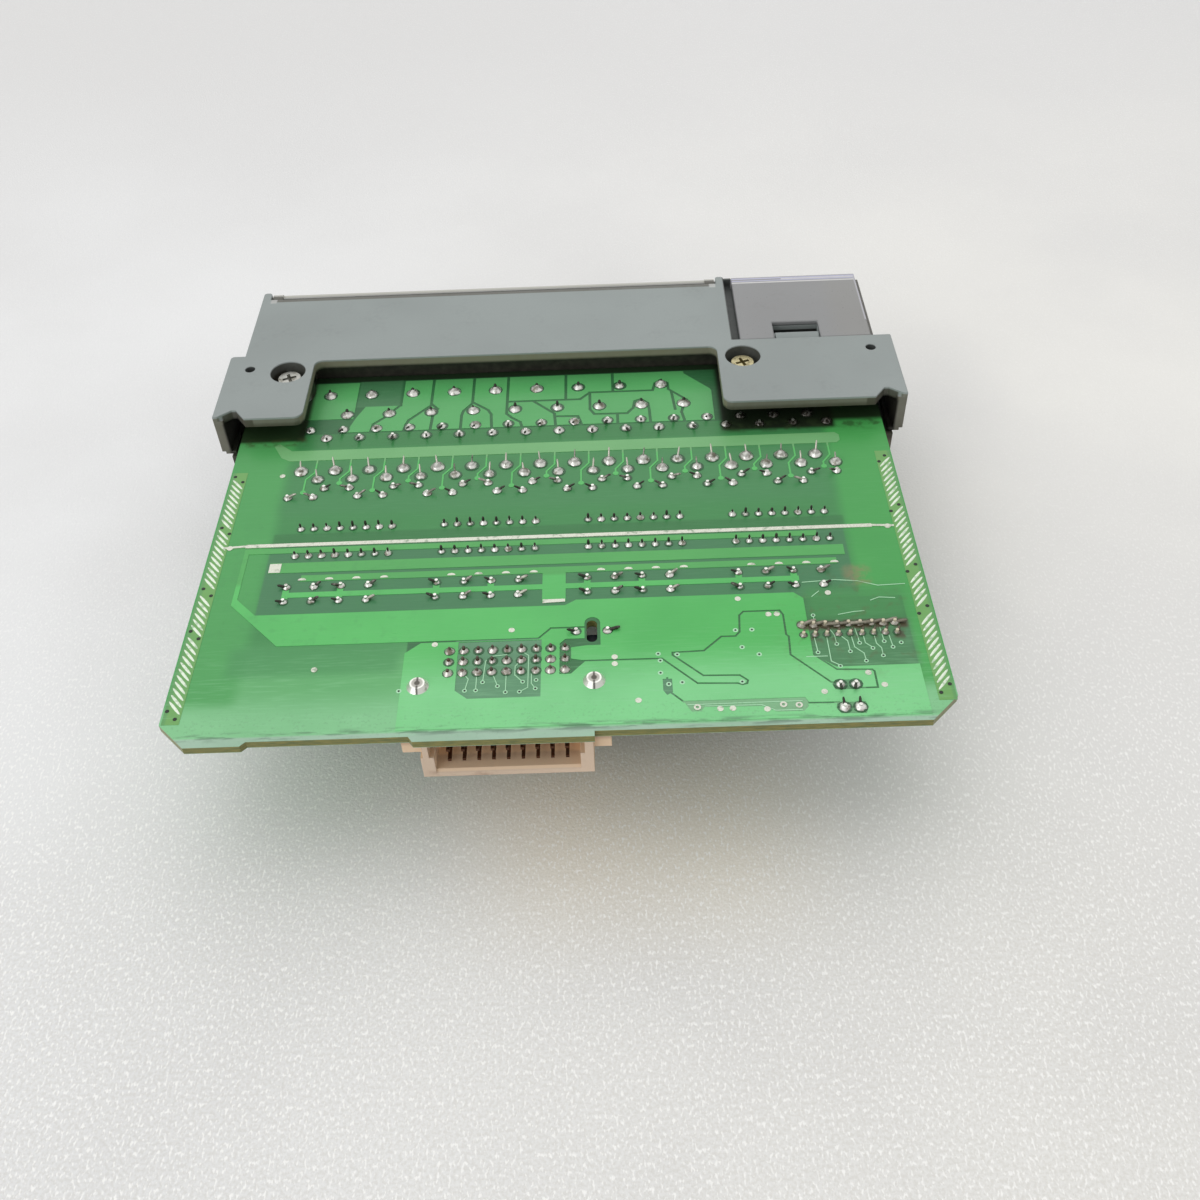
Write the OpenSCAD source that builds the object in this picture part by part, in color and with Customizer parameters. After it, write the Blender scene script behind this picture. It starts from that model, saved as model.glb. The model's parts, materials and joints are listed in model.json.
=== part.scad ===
// Sixteen-channel input module for a modular controller rack.
// The part lies on its component side: X runs along the rack's height, +Y points out of the rack
// towards the terminal door, and +Z points away from the solder side of the board.
// All sizes are in millimetres.

/* [Module] */
// Length of the front housing along X
body_l = 138; // [134:1:168]
// Thickness of the module across its slot
body_t = 34.5; // [32:0.5:42]
// Depth from the door face to the rear edge of the board
body_d = 129.6; // [129:0.2:156]

/* [Housing] */
// Thickness of the two broad walls
plate_t = 2.2; // [2:0.1:3]
// Thickness of the end walls
end_wall_t = 1.5; // [1.2:0.1:2.5]
// Air gap between the solder side and the cover plate
cover_gap = 3.6; // [3:0.1:5]
// How far each ear stands out past the end of the body
ear_out = 3.1; // [2.6:0.1:4]
// Depth of the ears, from their front shoulder to the rear edge of the plate
ear_d = 22.4; // [20:0.2:26]
// Distance from the door face back to the shoulder of the ears
ear_set = 25.6; // [25:0.1:30]
// Width of the left lobe of the cover, from the body end
lobe_left_w = 15.7; // [14:0.1:20]
// Width of the right lobe of the cover, from the body end
lobe_right_w = 34.9; // [33:0.1:40]
// Depth of the V notches in the rear edge of the cover
notch_d = 3.0; // [2:0.1:4]

/* [Door] */
// Thickness of the door panel
door_t = 1.4; // [1.2:0.1:2]
// Radius of the hinge knuckles
knuckle_r = 1.1; // [0.9:0.05:1.2]
// Radius of the hinge pins
hinge_pin_r = 0.6; // [0.4:0.05:0.7]
// Thickness of the writing card in the door
card_t = 0.25; // [0.2:0.05:0.4]

/* [Indicator window] */
// Width of the clear cap along X
lens_w = 28.5; // [26:0.5:30]
// Wall of the clear cap
lens_t = 1.1; // [0.9:0.1:1.2]
// Indicators in one row or column of the grid
led_side = 4; // [3:1:4]
// Distance between indicators
led_pitch = 5.6; // [5:0.1:6]

/* [Circuit board] */
// Thickness of the board
board_t = 1.6; // [1.2:0.1:2.4]
// Length of the board along X
board_l = 134.4; // [130:0.2:134.4]
// Corner chamfer at the rear of the board
board_chamfer = 5; // [3:0.5:8]
// Radius of the drilled lead holes
hole_r = 0.5; // [0.4:0.05:0.6]

/* [Terminals] */
// Number of screw terminals
poles = 18; // [14:2:18]
// Distance between neighbouring terminals, counted across both rows
pole_pitch = 4.5; // [4.2:0.1:4.6]
// Height of the terminal block
block_h = 26; // [25:0.5:27]
// Radius of the terminal screw heads
screw_head_r = 2.7; // [2.2:0.1:3]

/* [Input channels] */
// Number of input channels
channels = 16; // [8:4:16]
// Distance between neighbouring channels
channel_pitch = 6.985; // [6.6:0.005:7]
// Radius of an input resistor's body
resistor_r = 1.35; // [1:0.05:1.5]
// Length of an input resistor's body
resistor_l = 8.6; // [6:0.1:9.5]

/* [Backplane connector] */
// Contacts in one row of the connector
contact_columns = 9; // [6:1:9]
// Rows of contacts
contact_rows = 3; // [2:1:3]
// Height of the connector's shroud
shroud_h = 10.4; // [9:0.1:11]

/* [Hidden] */

// Fits and clearances
gap = 0.3;          // between the door and what it closes on
slip = 0.05;        // between a pin and its hole, on the radius
seat = 0.05;        // between a piece and the recess it drops into
pin_pitch = 2.54;   // grid of the board
far = 400;

// Heights
solder_z = body_t - plate_t - cover_gap;    // solder face of the board
comp_z = solder_z - board_t;                // component face of the board
cover_z = body_t - plate_t;                 // underside of the cover plate

// Depths, from the door face back
front_y = body_d / 2;
rear_y = -body_d / 2;
ear_y = front_y - ear_set;                  // front shoulder of the ears
lobe_y = ear_y - ear_d;                     // rear edge of the plates
window_y = ear_y - 2.5;                     // far edge of the cover's cut-out
bulkhead_t = 2;                             // rib that closes the front compartment
board_front_y = window_y + bulkhead_t + 1.7;
hinge_y = front_y - knuckle_r;
hinge_z = body_t - knuckle_r - 0.2;
bay_front_y = front_y - door_t - gap - 0.1; // front rim of the housing behind the door
groove_y = front_y - 3.1;                   // front edge of the cover behind the hinge

// Lengths, from the middle out
body_x = body_l / 2;
ear_x = body_x + ear_out;
skirt_t = 2;
ear_wall_x = ear_x - skirt_t - seat;        // outer face of the shell's ear walls
cheek_t = 1.8;                              // carries a hinge pin
bay_left = -body_x + cheek_t;
lens_rim = 1.0;                             // rebate between the window and the end of the body
lens_right = body_x - lens_rim;
lens_left = lens_right - lens_w;
lens_slot = 1.8;                            // groove beside the window
divider_t = 1.8;                            // wall between the door bay and the window bay
bay_right = lens_left - lens_slot - divider_t;
lens_rear_y = ear_y - 0.3;
lens_front_y = front_y - 0.9;
lens_front_t = 1.5;
lens_d = lens_front_y - lens_rear_y;
window_cheek_y = lens_front_y - 9;
catch_w = 10;                               // snap catch of the window
catch_d = 6.3;
catch_x = (lens_left + lens_right) / 2 - 1.7;
led_board_y = ear_y + 8;
led_board_t = 1.6;
led_board_z = plate_t + 1.6;
lobe_left = -body_x + lobe_left_w;
lobe_right = body_x - lobe_right_w;

// Case screws stand this far outside the edges of the cut-out
screw_inset = 5.35;
screw_y = window_y - 3.85;
screw_left_x = lobe_left - screw_inset;
screw_right_x = lobe_right + screw_inset;
case_shank_r = 1.45;
case_head_r = 2.4;
case_head_h = 1.9;
sink_r = 3.8;                               // counterbore over a case screw
sink_floor = solder_z + 2.3;

// Board datum: first pin of the first optocoupler
opto_pins = 8;
opto_count = 4;
opto_pitch = 11 * pin_pitch;
opto_span = 3 * pin_pitch;
field_shift = 0.5;
datum_x = field_shift - ((opto_count - 1) * opto_pitch + (opto_pins - 1) * pin_pitch) / 2;
datum_y = rear_y + 53.2;

// Terminal block and its header
block_clear = 0.5;
block_z = plate_t + 1.8;
block_mid_x = (bay_left + bay_right) / 2 + 3.7;
block_back_y = board_front_y + 2;
terrace_low_y = block_back_y + 11.6;
terrace_high_y = block_back_y + 14.6;
row_pitch = 2 * pole_pitch;
block_l = poles * pole_pitch + 12;
block_inner = poles * pole_pitch / 2 + 1.6; // half the length of its terraces
terrace_z = block_z + block_h / 2;
plate_side = row_pitch - 1.8;
clamp_t = 1.2;
screw_head_h = 1.8;
screw_shank_r = 1.5;
release_x = block_l / 2 - 2;
release_head_r = 2.3;
header_row_1_y = front_y - 33.4;
header_row_2_y = front_y - 40.4;
header_h = 10;
header_blade = 1.1;
header_l = poles * pole_pitch + 1;

// Backplane connector
contact_x = datum_x + 31.25;                // first column
contact_mid_x = contact_x + (contact_columns - 1) * pin_pitch / 2;
contact_row_y = datum_y - 38.53;            // front row of legs
contact_size = 0.6;
shroud_front_y = rear_y + 1.7;
shroud_back_y = contact_row_y - 1.1;
shroud_d = 8;                               // depth of the full-width part
mouth_d = 6.5;
shroud_w = (contact_columns - 1) * pin_pitch + 9.2;
shroud_wall = 1.5;
shroud_end = 2.3;                           // end walls of the mouth
mouth_lead = 0.6;                           // lead-in round the mouth
key_w = 0.8;                                // ribs that stop a plug turned over
neck_w = (contact_columns - 1) * pin_pitch + 4;
contact_z = comp_z - 2.7;                   // top row of contacts
lock_x = shroud_w / 2 + 0.4;
lock_y = datum_y - 41.2;
lock_r = 1.4;
lock_head_r = 2;

// Leads and solder
lead_r = 0.3;
lead_tip = 0.8;
fillet_h = 1.3;
fillet_r = 0.95;

$fn = 32;

// Two-dimensional helpers

module rounded_plate(x0, y0, x1, y1, r) {
    translate([x0 + r, y0]) square([x1 - x0 - 2 * r, y1 - y0]);
    translate([x0, y0 + r]) square([x1 - x0, y1 - y0 - 2 * r]);
    for (x = [x0 + r, x1 - r], y = [y0 + r, y1 - r])
        translate([x, y]) circle(r);
}

// Box given by two corners
module block(low, high) {
    translate(low) cube(high - low);
}

// Extrudes an outline drawn in Y and Z along X, from x0 to x1
module along_x(x0, x1) {
    translate([x0, 0, 0]) rotate([90, 0, 90]) linear_extrude(x1 - x0) children();
}

module rod_y(x, z, y0, y1, r) {
    translate([x, y0, z]) rotate([-90, 0, 0]) cylinder(h = y1 - y0, r = r);
}

module rod_z(x, y, z0, z1, r) {
    translate([x, y, z0]) cylinder(h = z1 - z0, r = r);
}

// Places of the leads, in the part's frame

function opto_sites() = [
    for (g = [0 : opto_count - 1], i = [0 : opto_pins - 1], row = [0, 1])
        [datum_x + g * opto_pitch + i * pin_pitch, datum_y - row * opto_span]
];

// Input resistors: two interleaved ranks, each [x, y of the near lead, y of the far lead]
function resistor_lines() = [
    for (i = [0 : channels - 1], rank = [0, 1])
        [
            datum_x - 2.6 + i * channel_pitch + rank * 3.75,
            datum_y + (rank == 0 ? 17.5 : 14.8),
            datum_y + (rank == 0 ? 31 : 28.2)
        ]
];

function resistor_sites() = [
    for (line = resistor_lines(), end = [1, 2]) [line[0], line[end]]
];

// Filter capacitors: one for each channel, alternating between two rows, [x of the first lead, y]
function capacitor_lines() = [
    for (i = [0 : channels - 1])
        [datum_x - 4.1 + i * channel_pitch, datum_y + (i % 2 == 0 ? 9.4 : 12)]
];

function capacitor_sites() = [
    for (line = capacitor_lines(), end = [0, 1]) [line[0] + end * 2 * pin_pitch, line[1]]
];

// Pull-up resistors: two rows of two for each optocoupler
function pull_up_lines() = [
    for (g = [0 : opto_count - 1], pair = [0, 1], row = [0, 1])
        [datum_x - 0.3 + g * opto_pitch + pair * 4 * pin_pitch, datum_y - 16 - row * 3.8]
];

function pull_up_sites() = [
    for (line = pull_up_lines(), end = [0, 1]) [line[0] + end * 2 * pin_pitch, line[1]]
];

function header_sites() = [
    for (i = [0 : poles - 1])
        [block_mid_x + (i - (poles - 1) / 2) * pole_pitch, i % 2 == 0 ? header_row_1_y : header_row_2_y]
];

function contact_sites() = [
    for (i = [0 : contact_columns - 1], row = [0 : contact_rows - 1])
        [contact_x + i * pin_pitch, contact_row_y + row * pin_pitch]
];

// Ribbon header: two rows of nine on a two-millimetre grid
ribbon_columns = 9;
ribbon_pitch = 2.05;
ribbon_x = lens_right - 24.8;
ribbon_y = datum_y - 32.3;
ribbon_row = 2.4;
function ribbon_sites() = [
    for (i = [0 : ribbon_columns - 1], row = [0, 1])
        [ribbon_x + i * ribbon_pitch, ribbon_y + row * ribbon_row]
];

// Isolation slot and the disc that bridges it
slot_x = datum_x + 56.3;
slot_y = datum_y - 29.6;
slot_w = 1.9;
slot_l = 5.2;
disc_lead = 2.8;
function suppressor_sites() = [for (side = [-1, 1]) [slot_x + side * disc_lead, slot_y]];

// Clamp diodes
function diode_lines() = [
    for (i = [0, 1]) [datum_x + 98.3 + i * 2.6, datum_y - 48.9, datum_y - 43.9]
];
function diode_sites() = [for (line = diode_lines(), end = [1, 2]) [line[0], line[end]]];

// Housing shell

module shell_floor() {
    linear_extrude(plate_t) {
        rounded_plate(-body_x, ear_y - 2, body_x, bay_front_y, 1);
        rounded_plate(-ear_wall_x, lobe_y, ear_wall_x, ear_y, 1);
    }
}

web_reach = 2.5;

module shell_walls() {
    front_inner = body_x - end_wall_t;
    ear_inner = ear_wall_x - end_wall_t - 0.3;
    for (side = [-1, 1]) {
        // end wall of the front compartment
        block(
            [side > 0 ? front_inner : -body_x, ear_y, 0],
            [side > 0 ? body_x : -front_inner, bay_front_y, cover_z]
        );
        // ear wall beside the board, which stops short of the cover's skirt
        block(
            [side > 0 ? ear_inner : -ear_wall_x, lobe_y, 0],
            [side > 0 ? ear_wall_x : -ear_inner, ear_y, solder_z - 4]
        );
        // web that joins the two and closes the end of the board's channel
        block(
            [side > 0 ? front_inner - web_reach : -ear_wall_x, ear_y - 0.8, 0],
            [side > 0 ? ear_wall_x : -front_inner + web_reach, ear_y, solder_z - 4]
        );
    }
    // divider between the door bay and the window bay
    block([bay_right, board_front_y + gap, 0], [bay_right + divider_t, bay_front_y, cover_z]);
    // bulkhead below the terminal header
    block(
        [-front_inner, block_back_y - block_clear - 1.5, 0],
        [bay_right, block_back_y - block_clear, comp_z - header_h - 0.4]
    );
}

screw_post_r = 3.5;
release_post_r = 3;
release_post_l = 8;
release_rib_w = 2;
ledge_w = 1.5;

module shell_posts() {
    for (x = [screw_left_x, screw_right_x])
        rod_z(x, screw_y, 0, comp_z, screw_post_r);
    // bosses that take the terminal block's release screws
    for (side = [-1, 1])
        rod_y(
            block_mid_x + side * release_x, terrace_z,
            block_back_y - release_post_l, block_back_y - block_clear, release_post_r
        );
    for (side = [-1, 1])
        block(
            [block_mid_x + side * release_x - release_rib_w / 2, block_back_y - release_post_l, 0],
            [block_mid_x + side * release_x + release_rib_w / 2, block_back_y - block_clear, terrace_z - 2]
        );
    // slotted ledges that hold the indicator board
    for (x = [lens_left + 0.7, lens_right - 2.2]) {
        block([x, led_board_y - 1.4, 0], [x + ledge_w, led_board_y + led_board_t + 1.4, led_board_z]);
        block([x, led_board_y - 1.4, 0], [x + ledge_w, led_board_y - slip, led_board_z + 6]);
        block(
            [x, led_board_y + led_board_t + slip, 0],
            [x + ledge_w, led_board_y + led_board_t + 1.4, led_board_z + 1.5]
        );
    }
}

// Slots that let air through an end wall
vent_count = 5;
vent_pitch = 4;
vent_w = 1.6;

module vent_slots(x0, x1) {
    for (i = [0 : vent_count - 1])
        block(
            [x0, lobe_y + 3 + i * vent_pitch, plate_t + 3],
            [x1, lobe_y + 3 + vent_w + i * vent_pitch, solder_z - 8]
        );
}

// Recess for a finger under the free edge of the door
finger_w = 16;
finger_d = 1.2;
finger_h = 5;

module housing_shell() {
    color([0.58, 0.62, 0.62]) difference() {
        union() {
            shell_floor();
            shell_walls();
            shell_posts();
        }
        // pilot holes of the case screws and the release screws
        for (x = [screw_left_x, screw_right_x])
            rod_z(x, screw_y, comp_z - 9, far, case_shank_r + slip);
        for (side = [-1, 1])
            rod_y(block_mid_x + side * release_x, terrace_z, block_back_y - 6.5, far, screw_shank_r + slip);
        // recess for the lower skirt of the window
        block([lens_left - seat, ear_y - 0.3, -1], [lens_right + seat, far, lens_t + seat]);
        // room for the window's front wall and its side cheeks
        block([lens_left - seat, lens_front_y - lens_front_t - seat, -1], [lens_right + seat, far, far]);
        block([lens_left - seat, window_cheek_y - seat, plate_t], [lens_right + seat, far, far]);
        // field wiring leaves through the left end
        block(
            [-far, terrace_low_y - 10, block_z + 1],
            [bay_left - 0.2, bay_front_y - 2.5, block_z + block_h - 4]
        );
        vent_slots(-far, -body_x + 2.2);
        vent_slots(body_x - 2.2, far);
        // finger recess under the free edge of the door
        block(
            [block_mid_x - finger_w / 2, bay_front_y - finger_d, -1],
            [block_mid_x + finger_w / 2, far, finger_h]
        );
    }
}

// Solder-side cover

lobe_round = 2;                             // corner of a plate beside the cut-out
rim_h = 1.2;                                // rib along the front edge, and its ledge under the hinge
ledge_t = 0.9;
ledge_drop = 0.5;
bulkhead_set = 1.5;                         // how far the bulkhead stands back under the cut-out's edge

// Takes a square corner off, with its point at x and the plate on the side of dx
module corner_round(x, dx) {
    difference() {
        translate([dx > 0 ? x - 0.01 : x - lobe_round, lobe_y - 0.01])
            square([lobe_round + 0.01, lobe_round + 0.01]);
        translate([x + dx * lobe_round, lobe_y + lobe_round]) circle(lobe_round);
    }
}

module cover_outline() {
    // front plate behind the hinge, with a cheek at each side of the door
    rounded_plate(-body_x, ear_y - 2.4, body_x, groove_y, 0.6);
    for (span = [[-body_x, bay_left], [bay_right, bay_right + divider_t]])
        rounded_plate(span[0], groove_y - 3, span[1], front_y - 0.3, 0.6);
    // front rim under the skirt of the indicator window
    rim_y = lens_front_y - lens_front_t - seat;
    translate([bay_right + 0.5, groove_y - 3]) square([body_x - bay_right - 0.5, rim_y - groove_y + 3]);
    translate([lens_right + seat, groove_y - 3]) square([lens_rim - seat, lens_front_y - groove_y + 3]);
    // end of the groove beside the window
    translate([bay_right + 0.5, groove_y - 3])
        square([lens_left - seat - bay_right - 0.5, lens_front_y - groove_y + 3]);
    // ears and lobes
    difference() {
        rounded_plate(-ear_x, lobe_y, ear_x, ear_y, 0.8);
        rounded_plate(lobe_left, lobe_y - 10, lobe_right, window_y, 1.8);
        corner_round(lobe_left, -1);
        corner_round(lobe_right, 1);
        for (side = [-1, 1])
            polygon([
                [side * (body_x - 3.6), lobe_y - 0.01],
                [side * (body_x - 1.4), lobe_y + notch_d],
                [side * (body_x - 0.5), lobe_y + notch_d],
                [side * (body_x + 2.2), lobe_y + 0.9],
                [side * (ear_x + 1), lobe_y + 0.6],
                [side * (ear_x + 1), lobe_y - 0.01]
            ]);
    }
}

module solder_side_cover() {
    color([0.6, 0.64, 0.64]) difference() {
        union() {
            translate([0, 0, cover_z]) linear_extrude(plate_t) cover_outline();
            // skirts over the ends of the ears
            for (side = [-1, 1])
                block(
                    [side > 0 ? ear_x - skirt_t : -ear_x, lobe_y + 0.8, solder_z - 3.2],
                    [side > 0 ? ear_x : -ear_x + skirt_t, ear_y, cover_z + 1]
                );
            // bulkhead down to the board behind the cut-out
            block(
                [lobe_left - 1, window_y + bulkhead_set, solder_z],
                [lobe_right + 1, window_y + bulkhead_set + bulkhead_t, cover_z + 1]
            );
            // rib along the front edge, with a ledge that darkens the slot of the hinge
            along_x(bay_left + slip, bay_right - slip) polygon([
                [groove_y - rim_h, cover_z + 0.5],
                [groove_y - rim_h, cover_z - ledge_drop - ledge_t],
                [bay_front_y, cover_z - ledge_drop - ledge_t],
                [bay_front_y, cover_z - ledge_drop],
                [groove_y, cover_z - ledge_drop],
                [groove_y, cover_z + 0.5]
            ]);
            // bosses that clamp the board
            for (x = [screw_left_x, screw_right_x])
                rod_z(x, screw_y, solder_z, cover_z + 1, sink_r + 1.2);
            // cheeks that carry the hinge pins
            for (span = [[-body_x, bay_left], [bay_right, bay_right + divider_t]])
                block([span[0], bay_front_y + 0.1, hinge_z - 2.6], [span[1], front_y - 0.3, cover_z + 1]);
        }
        for (x = [screw_left_x, screw_right_x]) {
            rod_z(x, screw_y, sink_floor, far, sink_r);
            rod_z(x, screw_y, 0, far, case_shank_r + 0.25);
        }
        // recess for the upper skirt of the indicator window, and the groove beside it
        block([lens_left - seat, lens_rear_y - seat, body_t - lens_t - seat], [far, far, far]);
        block([lens_right + seat, lens_rear_y - seat, cover_z + 0.5], [far, far, far]);
        block([lens_left - lens_slot, lens_rear_y, cover_z + 0.25], [lens_left, far, far]);
        // pocket under the snap catch
        block(
            [catch_x - catch_w / 2, lens_rear_y + 3.6, 0],
            [catch_x + catch_w / 2, lens_rear_y + catch_d, far]
        );
        // tooling sockets on the ears
        for (side = [-1, 1])
            rod_z(side * (body_x - 1.9), ear_y - 4.9, body_t - 1.7, far, 1.1);
        // hinge holes
        translate([-body_x - 1, hinge_y, hinge_z]) rotate([0, 90, 0])
            cylinder(h = body_x + bay_right + divider_t + 2, r = hinge_pin_r + slip);
    }
    // snap catch that holds the window
    color([0.6, 0.64, 0.64]) along_x(catch_x - catch_w / 2 + 0.3, catch_x + catch_w / 2 - 0.3)
        polygon([
            [lens_rear_y - 0.02, cover_z + 0.4],
            [lens_rear_y - 0.02, body_t - 0.75],
            [lens_rear_y + 2, body_t - 0.15],
            [lens_rear_y + 2.3, body_t - 0.15],
            [lens_rear_y + 2.3, cover_z + 0.4]
        ]);
}

// Terminal door, hinged along its solder-side edge

door_left = bay_left + gap;
door_right = bay_right - gap;
door_low_z = 0.8;
knuckle_l = 2.2;
card_low_z = 5;
card_high_z = hinge_z - 4;
rail_left = door_left + 6;
rail_right = door_right - 6;
rail_y = front_y - door_t - 0.8;

module terminal_door() {
    color([0.82, 0.85, 0.86]) {
        difference() {
            union() {
                along_x(door_left, door_right) {
                    translate([front_y - door_t, door_low_z]) square([door_t, hinge_z - door_low_z]);
                    translate([front_y - door_t / 2, hinge_z]) circle(door_t / 2);
                }
                for (x = [door_left, door_right - knuckle_l])
                    translate([x, hinge_y, hinge_z]) rotate([0, 90, 0])
                        cylinder(h = knuckle_l, r = knuckle_r);
                // rails that hold the writing card by its long edges
                for (z = [card_low_z - 1, card_high_z])
                    block([rail_left, rail_y, z], [rail_right, front_y - door_t + 0.1, z + 1]);
                for (z = [card_low_z - 1, card_high_z - 0.8])
                    block([rail_left, rail_y, z], [rail_right, front_y - door_t - card_t - seat, z + 1.8]);
            }
            // thumb relief at the free edge
            translate([block_mid_x, front_y + 1.2, door_low_z + 1]) rotate([0, 90, 0])
                translate([0, 0, -7]) cylinder(h = 14, r = 2);
        }
        // hinge pins
        translate([door_left - gap - cheek_t + 0.3, hinge_y, hinge_z]) rotate([0, 90, 0])
            cylinder(h = gap + cheek_t, r = hinge_pin_r);
        translate([door_right - 0.3, hinge_y, hinge_z]) rotate([0, 90, 0])
            cylinder(h = gap + cheek_t, r = hinge_pin_r);
    }
}

module door_card() {
    color([0.93, 0.93, 0.9])
        block(
            [rail_left + 0.5, front_y - door_t - card_t, card_low_z + seat],
            [rail_right - 0.5, front_y - door_t, card_high_z - seat]
        );
}

// Indicator window and what lights it

module indicator_window() {
    color([0.8, 0.84, 0.86]) difference() {
        union() {
            // front wall and the two skirts, bent from one section
            along_x(lens_left, lens_right)
                difference() {
                    translate([lens_rear_y, 0]) square([lens_d, body_t]);
                    translate([lens_rear_y - 1, lens_t])
                        square([lens_d + 1 - lens_front_t, body_t - 2 * lens_t]);
                }
            for (x = [lens_left, lens_right - 1])
                block([x, window_cheek_y, lens_t - 0.1], [x + 1, lens_front_y - 1, body_t - lens_t + 0.1]);
        }
        // the cheeks stop short of the housing's two plates
        for (span = [[lens_t, plate_t + gap], [cover_z - gap, body_t - lens_t]])
            block(
                [lens_left - 1, window_cheek_y - 1, span[0]],
                [lens_right + 1, lens_front_y - lens_front_t, span[1]]
            );
        // notch that the snap catch stands in
        for (z = [-1, body_t - 2])
            block(
                [catch_x - catch_w / 2, lens_rear_y - 1, z],
                [catch_x + catch_w / 2, lens_rear_y + catch_d, z + 3]
            );
    }
}

led_mid_x = (lens_left + lens_right) / 2;
led_mid_z = body_t / 2;
mask_d = 10;
led_body_r = 1.5;

function led_sites() = [
    for (i = [0 : led_side - 1], j = [0 : led_side - 1])
        [led_mid_x + (i - (led_side - 1) / 2) * led_pitch, led_mid_z + (j - (led_side - 1) / 2) * led_pitch]
];

module led_mask() {
    side = led_side * led_pitch + 1;
    color([0.1, 0.1, 0.11]) difference() {
        block(
            [led_mid_x - side / 2, led_board_y + led_board_t, led_mid_z - side / 2],
            [led_mid_x + side / 2, led_board_y + led_board_t + mask_d, led_mid_z + side / 2]
        );
        for (site = led_sites())
            translate([site[0] - 2.1, 0, site[1] - 2.1]) cube([4.2, far, 4.2]);
    }
}

module led_board() {
    color([0.16, 0.45, 0.25])
        block(
            [lens_left + 0.7, led_board_y, led_board_z],
            [lens_right - 0.7, led_board_y + led_board_t, cover_z - 1.2]
        );
}

module status_leds() {
    color([0.75, 0.12, 0.1]) for (site = led_sites()) {
        rod_y(site[0], site[1], led_board_y + led_board_t, led_board_y + led_board_t + 4.2, led_body_r);
        translate([site[0], led_board_y + led_board_t + 4.2, site[1]]) sphere(led_body_r);
    }
}

// Flat ribbon from the board to the indicator board, bent from one strip
ribbon_w = 15.6;
ribbon_t = 0.6;
ribbon_z = comp_z - 10;
ribbon_left = ribbon_x + (ribbon_columns - 1) * ribbon_pitch / 2 - ribbon_w / 2 + 0.4;
ribbon_mid_y = ribbon_y + ribbon_row / 2;
ribbon_rear_y = ribbon_mid_y - ribbon_t / 2;
ribbon_turn_y = led_board_y - 3;
ribbon_end = 4.2;
ribbon_rise = 6;

module led_ribbon() {
    color([0.72, 0.72, 0.7]) along_x(ribbon_left, ribbon_left + ribbon_w) {
        translate([ribbon_rear_y, ribbon_z]) square([ribbon_t, ribbon_end]);
        translate([ribbon_rear_y, ribbon_z]) square([ribbon_turn_y - ribbon_rear_y, ribbon_t]);
        translate([ribbon_turn_y - ribbon_t, ribbon_z]) square([ribbon_t, ribbon_rise]);
        translate([ribbon_turn_y - ribbon_t, ribbon_z + ribbon_rise - ribbon_t])
            square([led_board_y - ribbon_turn_y + ribbon_t, ribbon_t]);
    }
}

module ribbon_header() {
    color([0.85, 0.83, 0.76]) difference() {
        union() {
            block(
                [ribbon_x - 1.4, ribbon_y - 1.3, comp_z - 6],
                [ribbon_x + (ribbon_columns - 1) * ribbon_pitch + 1.4, ribbon_y + ribbon_row + 1.3, comp_z]
            );
            for (site = ribbon_sites())
                rod_z(site[0], site[1], comp_z - 0.1, solder_z + lead_tip, lead_r);
        }
        // slot that takes the end of the ribbon
        block(
            [ribbon_left - 0.2, ribbon_rear_y - seat, comp_z - 7],
            [ribbon_left + ribbon_w + 0.2, ribbon_rear_y + ribbon_t + seat, ribbon_z + ribbon_end]
        );
    }
}

// Removable terminal block

// Terminals on one terrace: 0 is the low one near the component side, 1 the high one
function terrace_poles(terrace) = [
    for (i = [0 : poles - 1])
        if (i % 2 == 1 - terrace) block_mid_x + (i - (poles - 1) / 2) * pole_pitch
];
function terrace_face(terrace) = terrace == 1 ? terrace_high_y : terrace_low_y;
function terrace_mid(terrace) = block_z + block_h * (terrace == 1 ? 0.75 : 0.25);
fin_t = 1.0;
fin_out = 3.4;
contact_wall = 0.6;
contact_clear = 0.1;
socket_side = header_blade + 2 * (contact_wall + contact_clear + seat);
function blade_z(terrace) = comp_z - (terrace == 1 ? 2.6 : 7);

module terrace_fins(terrace) {
    y = terrace_face(terrace);
    z = terrace_mid(terrace);
    for (pole = terrace_poles(terrace), side = [-1, 1]) {
        x = pole + side * row_pitch / 2;
        if (abs(x - block_mid_x) < block_inner)
            block(
                [x - fin_t / 2, y - 0.1, z - block_h / 4 + 0.4],
                [x + fin_t / 2, y + fin_out, z + block_h / 4]
            );
    }
}

module terminal_block() {
    left = block_mid_x - block_l / 2;
    right = block_mid_x + block_l / 2;
    color([0.2, 0.21, 0.22]) difference() {
        union() {
            along_x(block_mid_x - block_inner, block_mid_x + block_inner) {
                translate([block_back_y, block_z]) square([terrace_low_y - block_back_y, block_h]);
                translate([block_back_y, terrace_z]) square([terrace_high_y - block_back_y, block_h / 2]);
            }
            // end flanges for the release screws
            along_x(left, right)
                translate([block_back_y, terrace_z - 5]) square([6, 10]);
            for (terrace = [0, 1]) terrace_fins(terrace);
        }
        for (terrace = [0, 1], x = terrace_poles(terrace)) {
            rod_y(x, terrace_mid(terrace), terrace_face(terrace) - 7, far, screw_shank_r + slip);
            // socket for the header's blade
            block(
                [x - socket_side / 2, block_back_y - 1, blade_z(terrace) - socket_side / 2],
                [x + socket_side / 2, block_back_y + 7, blade_z(terrace) + socket_side / 2]
            );
        }
        for (side = [-1, 1])
            rod_y(block_mid_x + side * release_x, terrace_z, block_back_y - 1, far, screw_shank_r + 0.2);
    }
}

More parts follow.
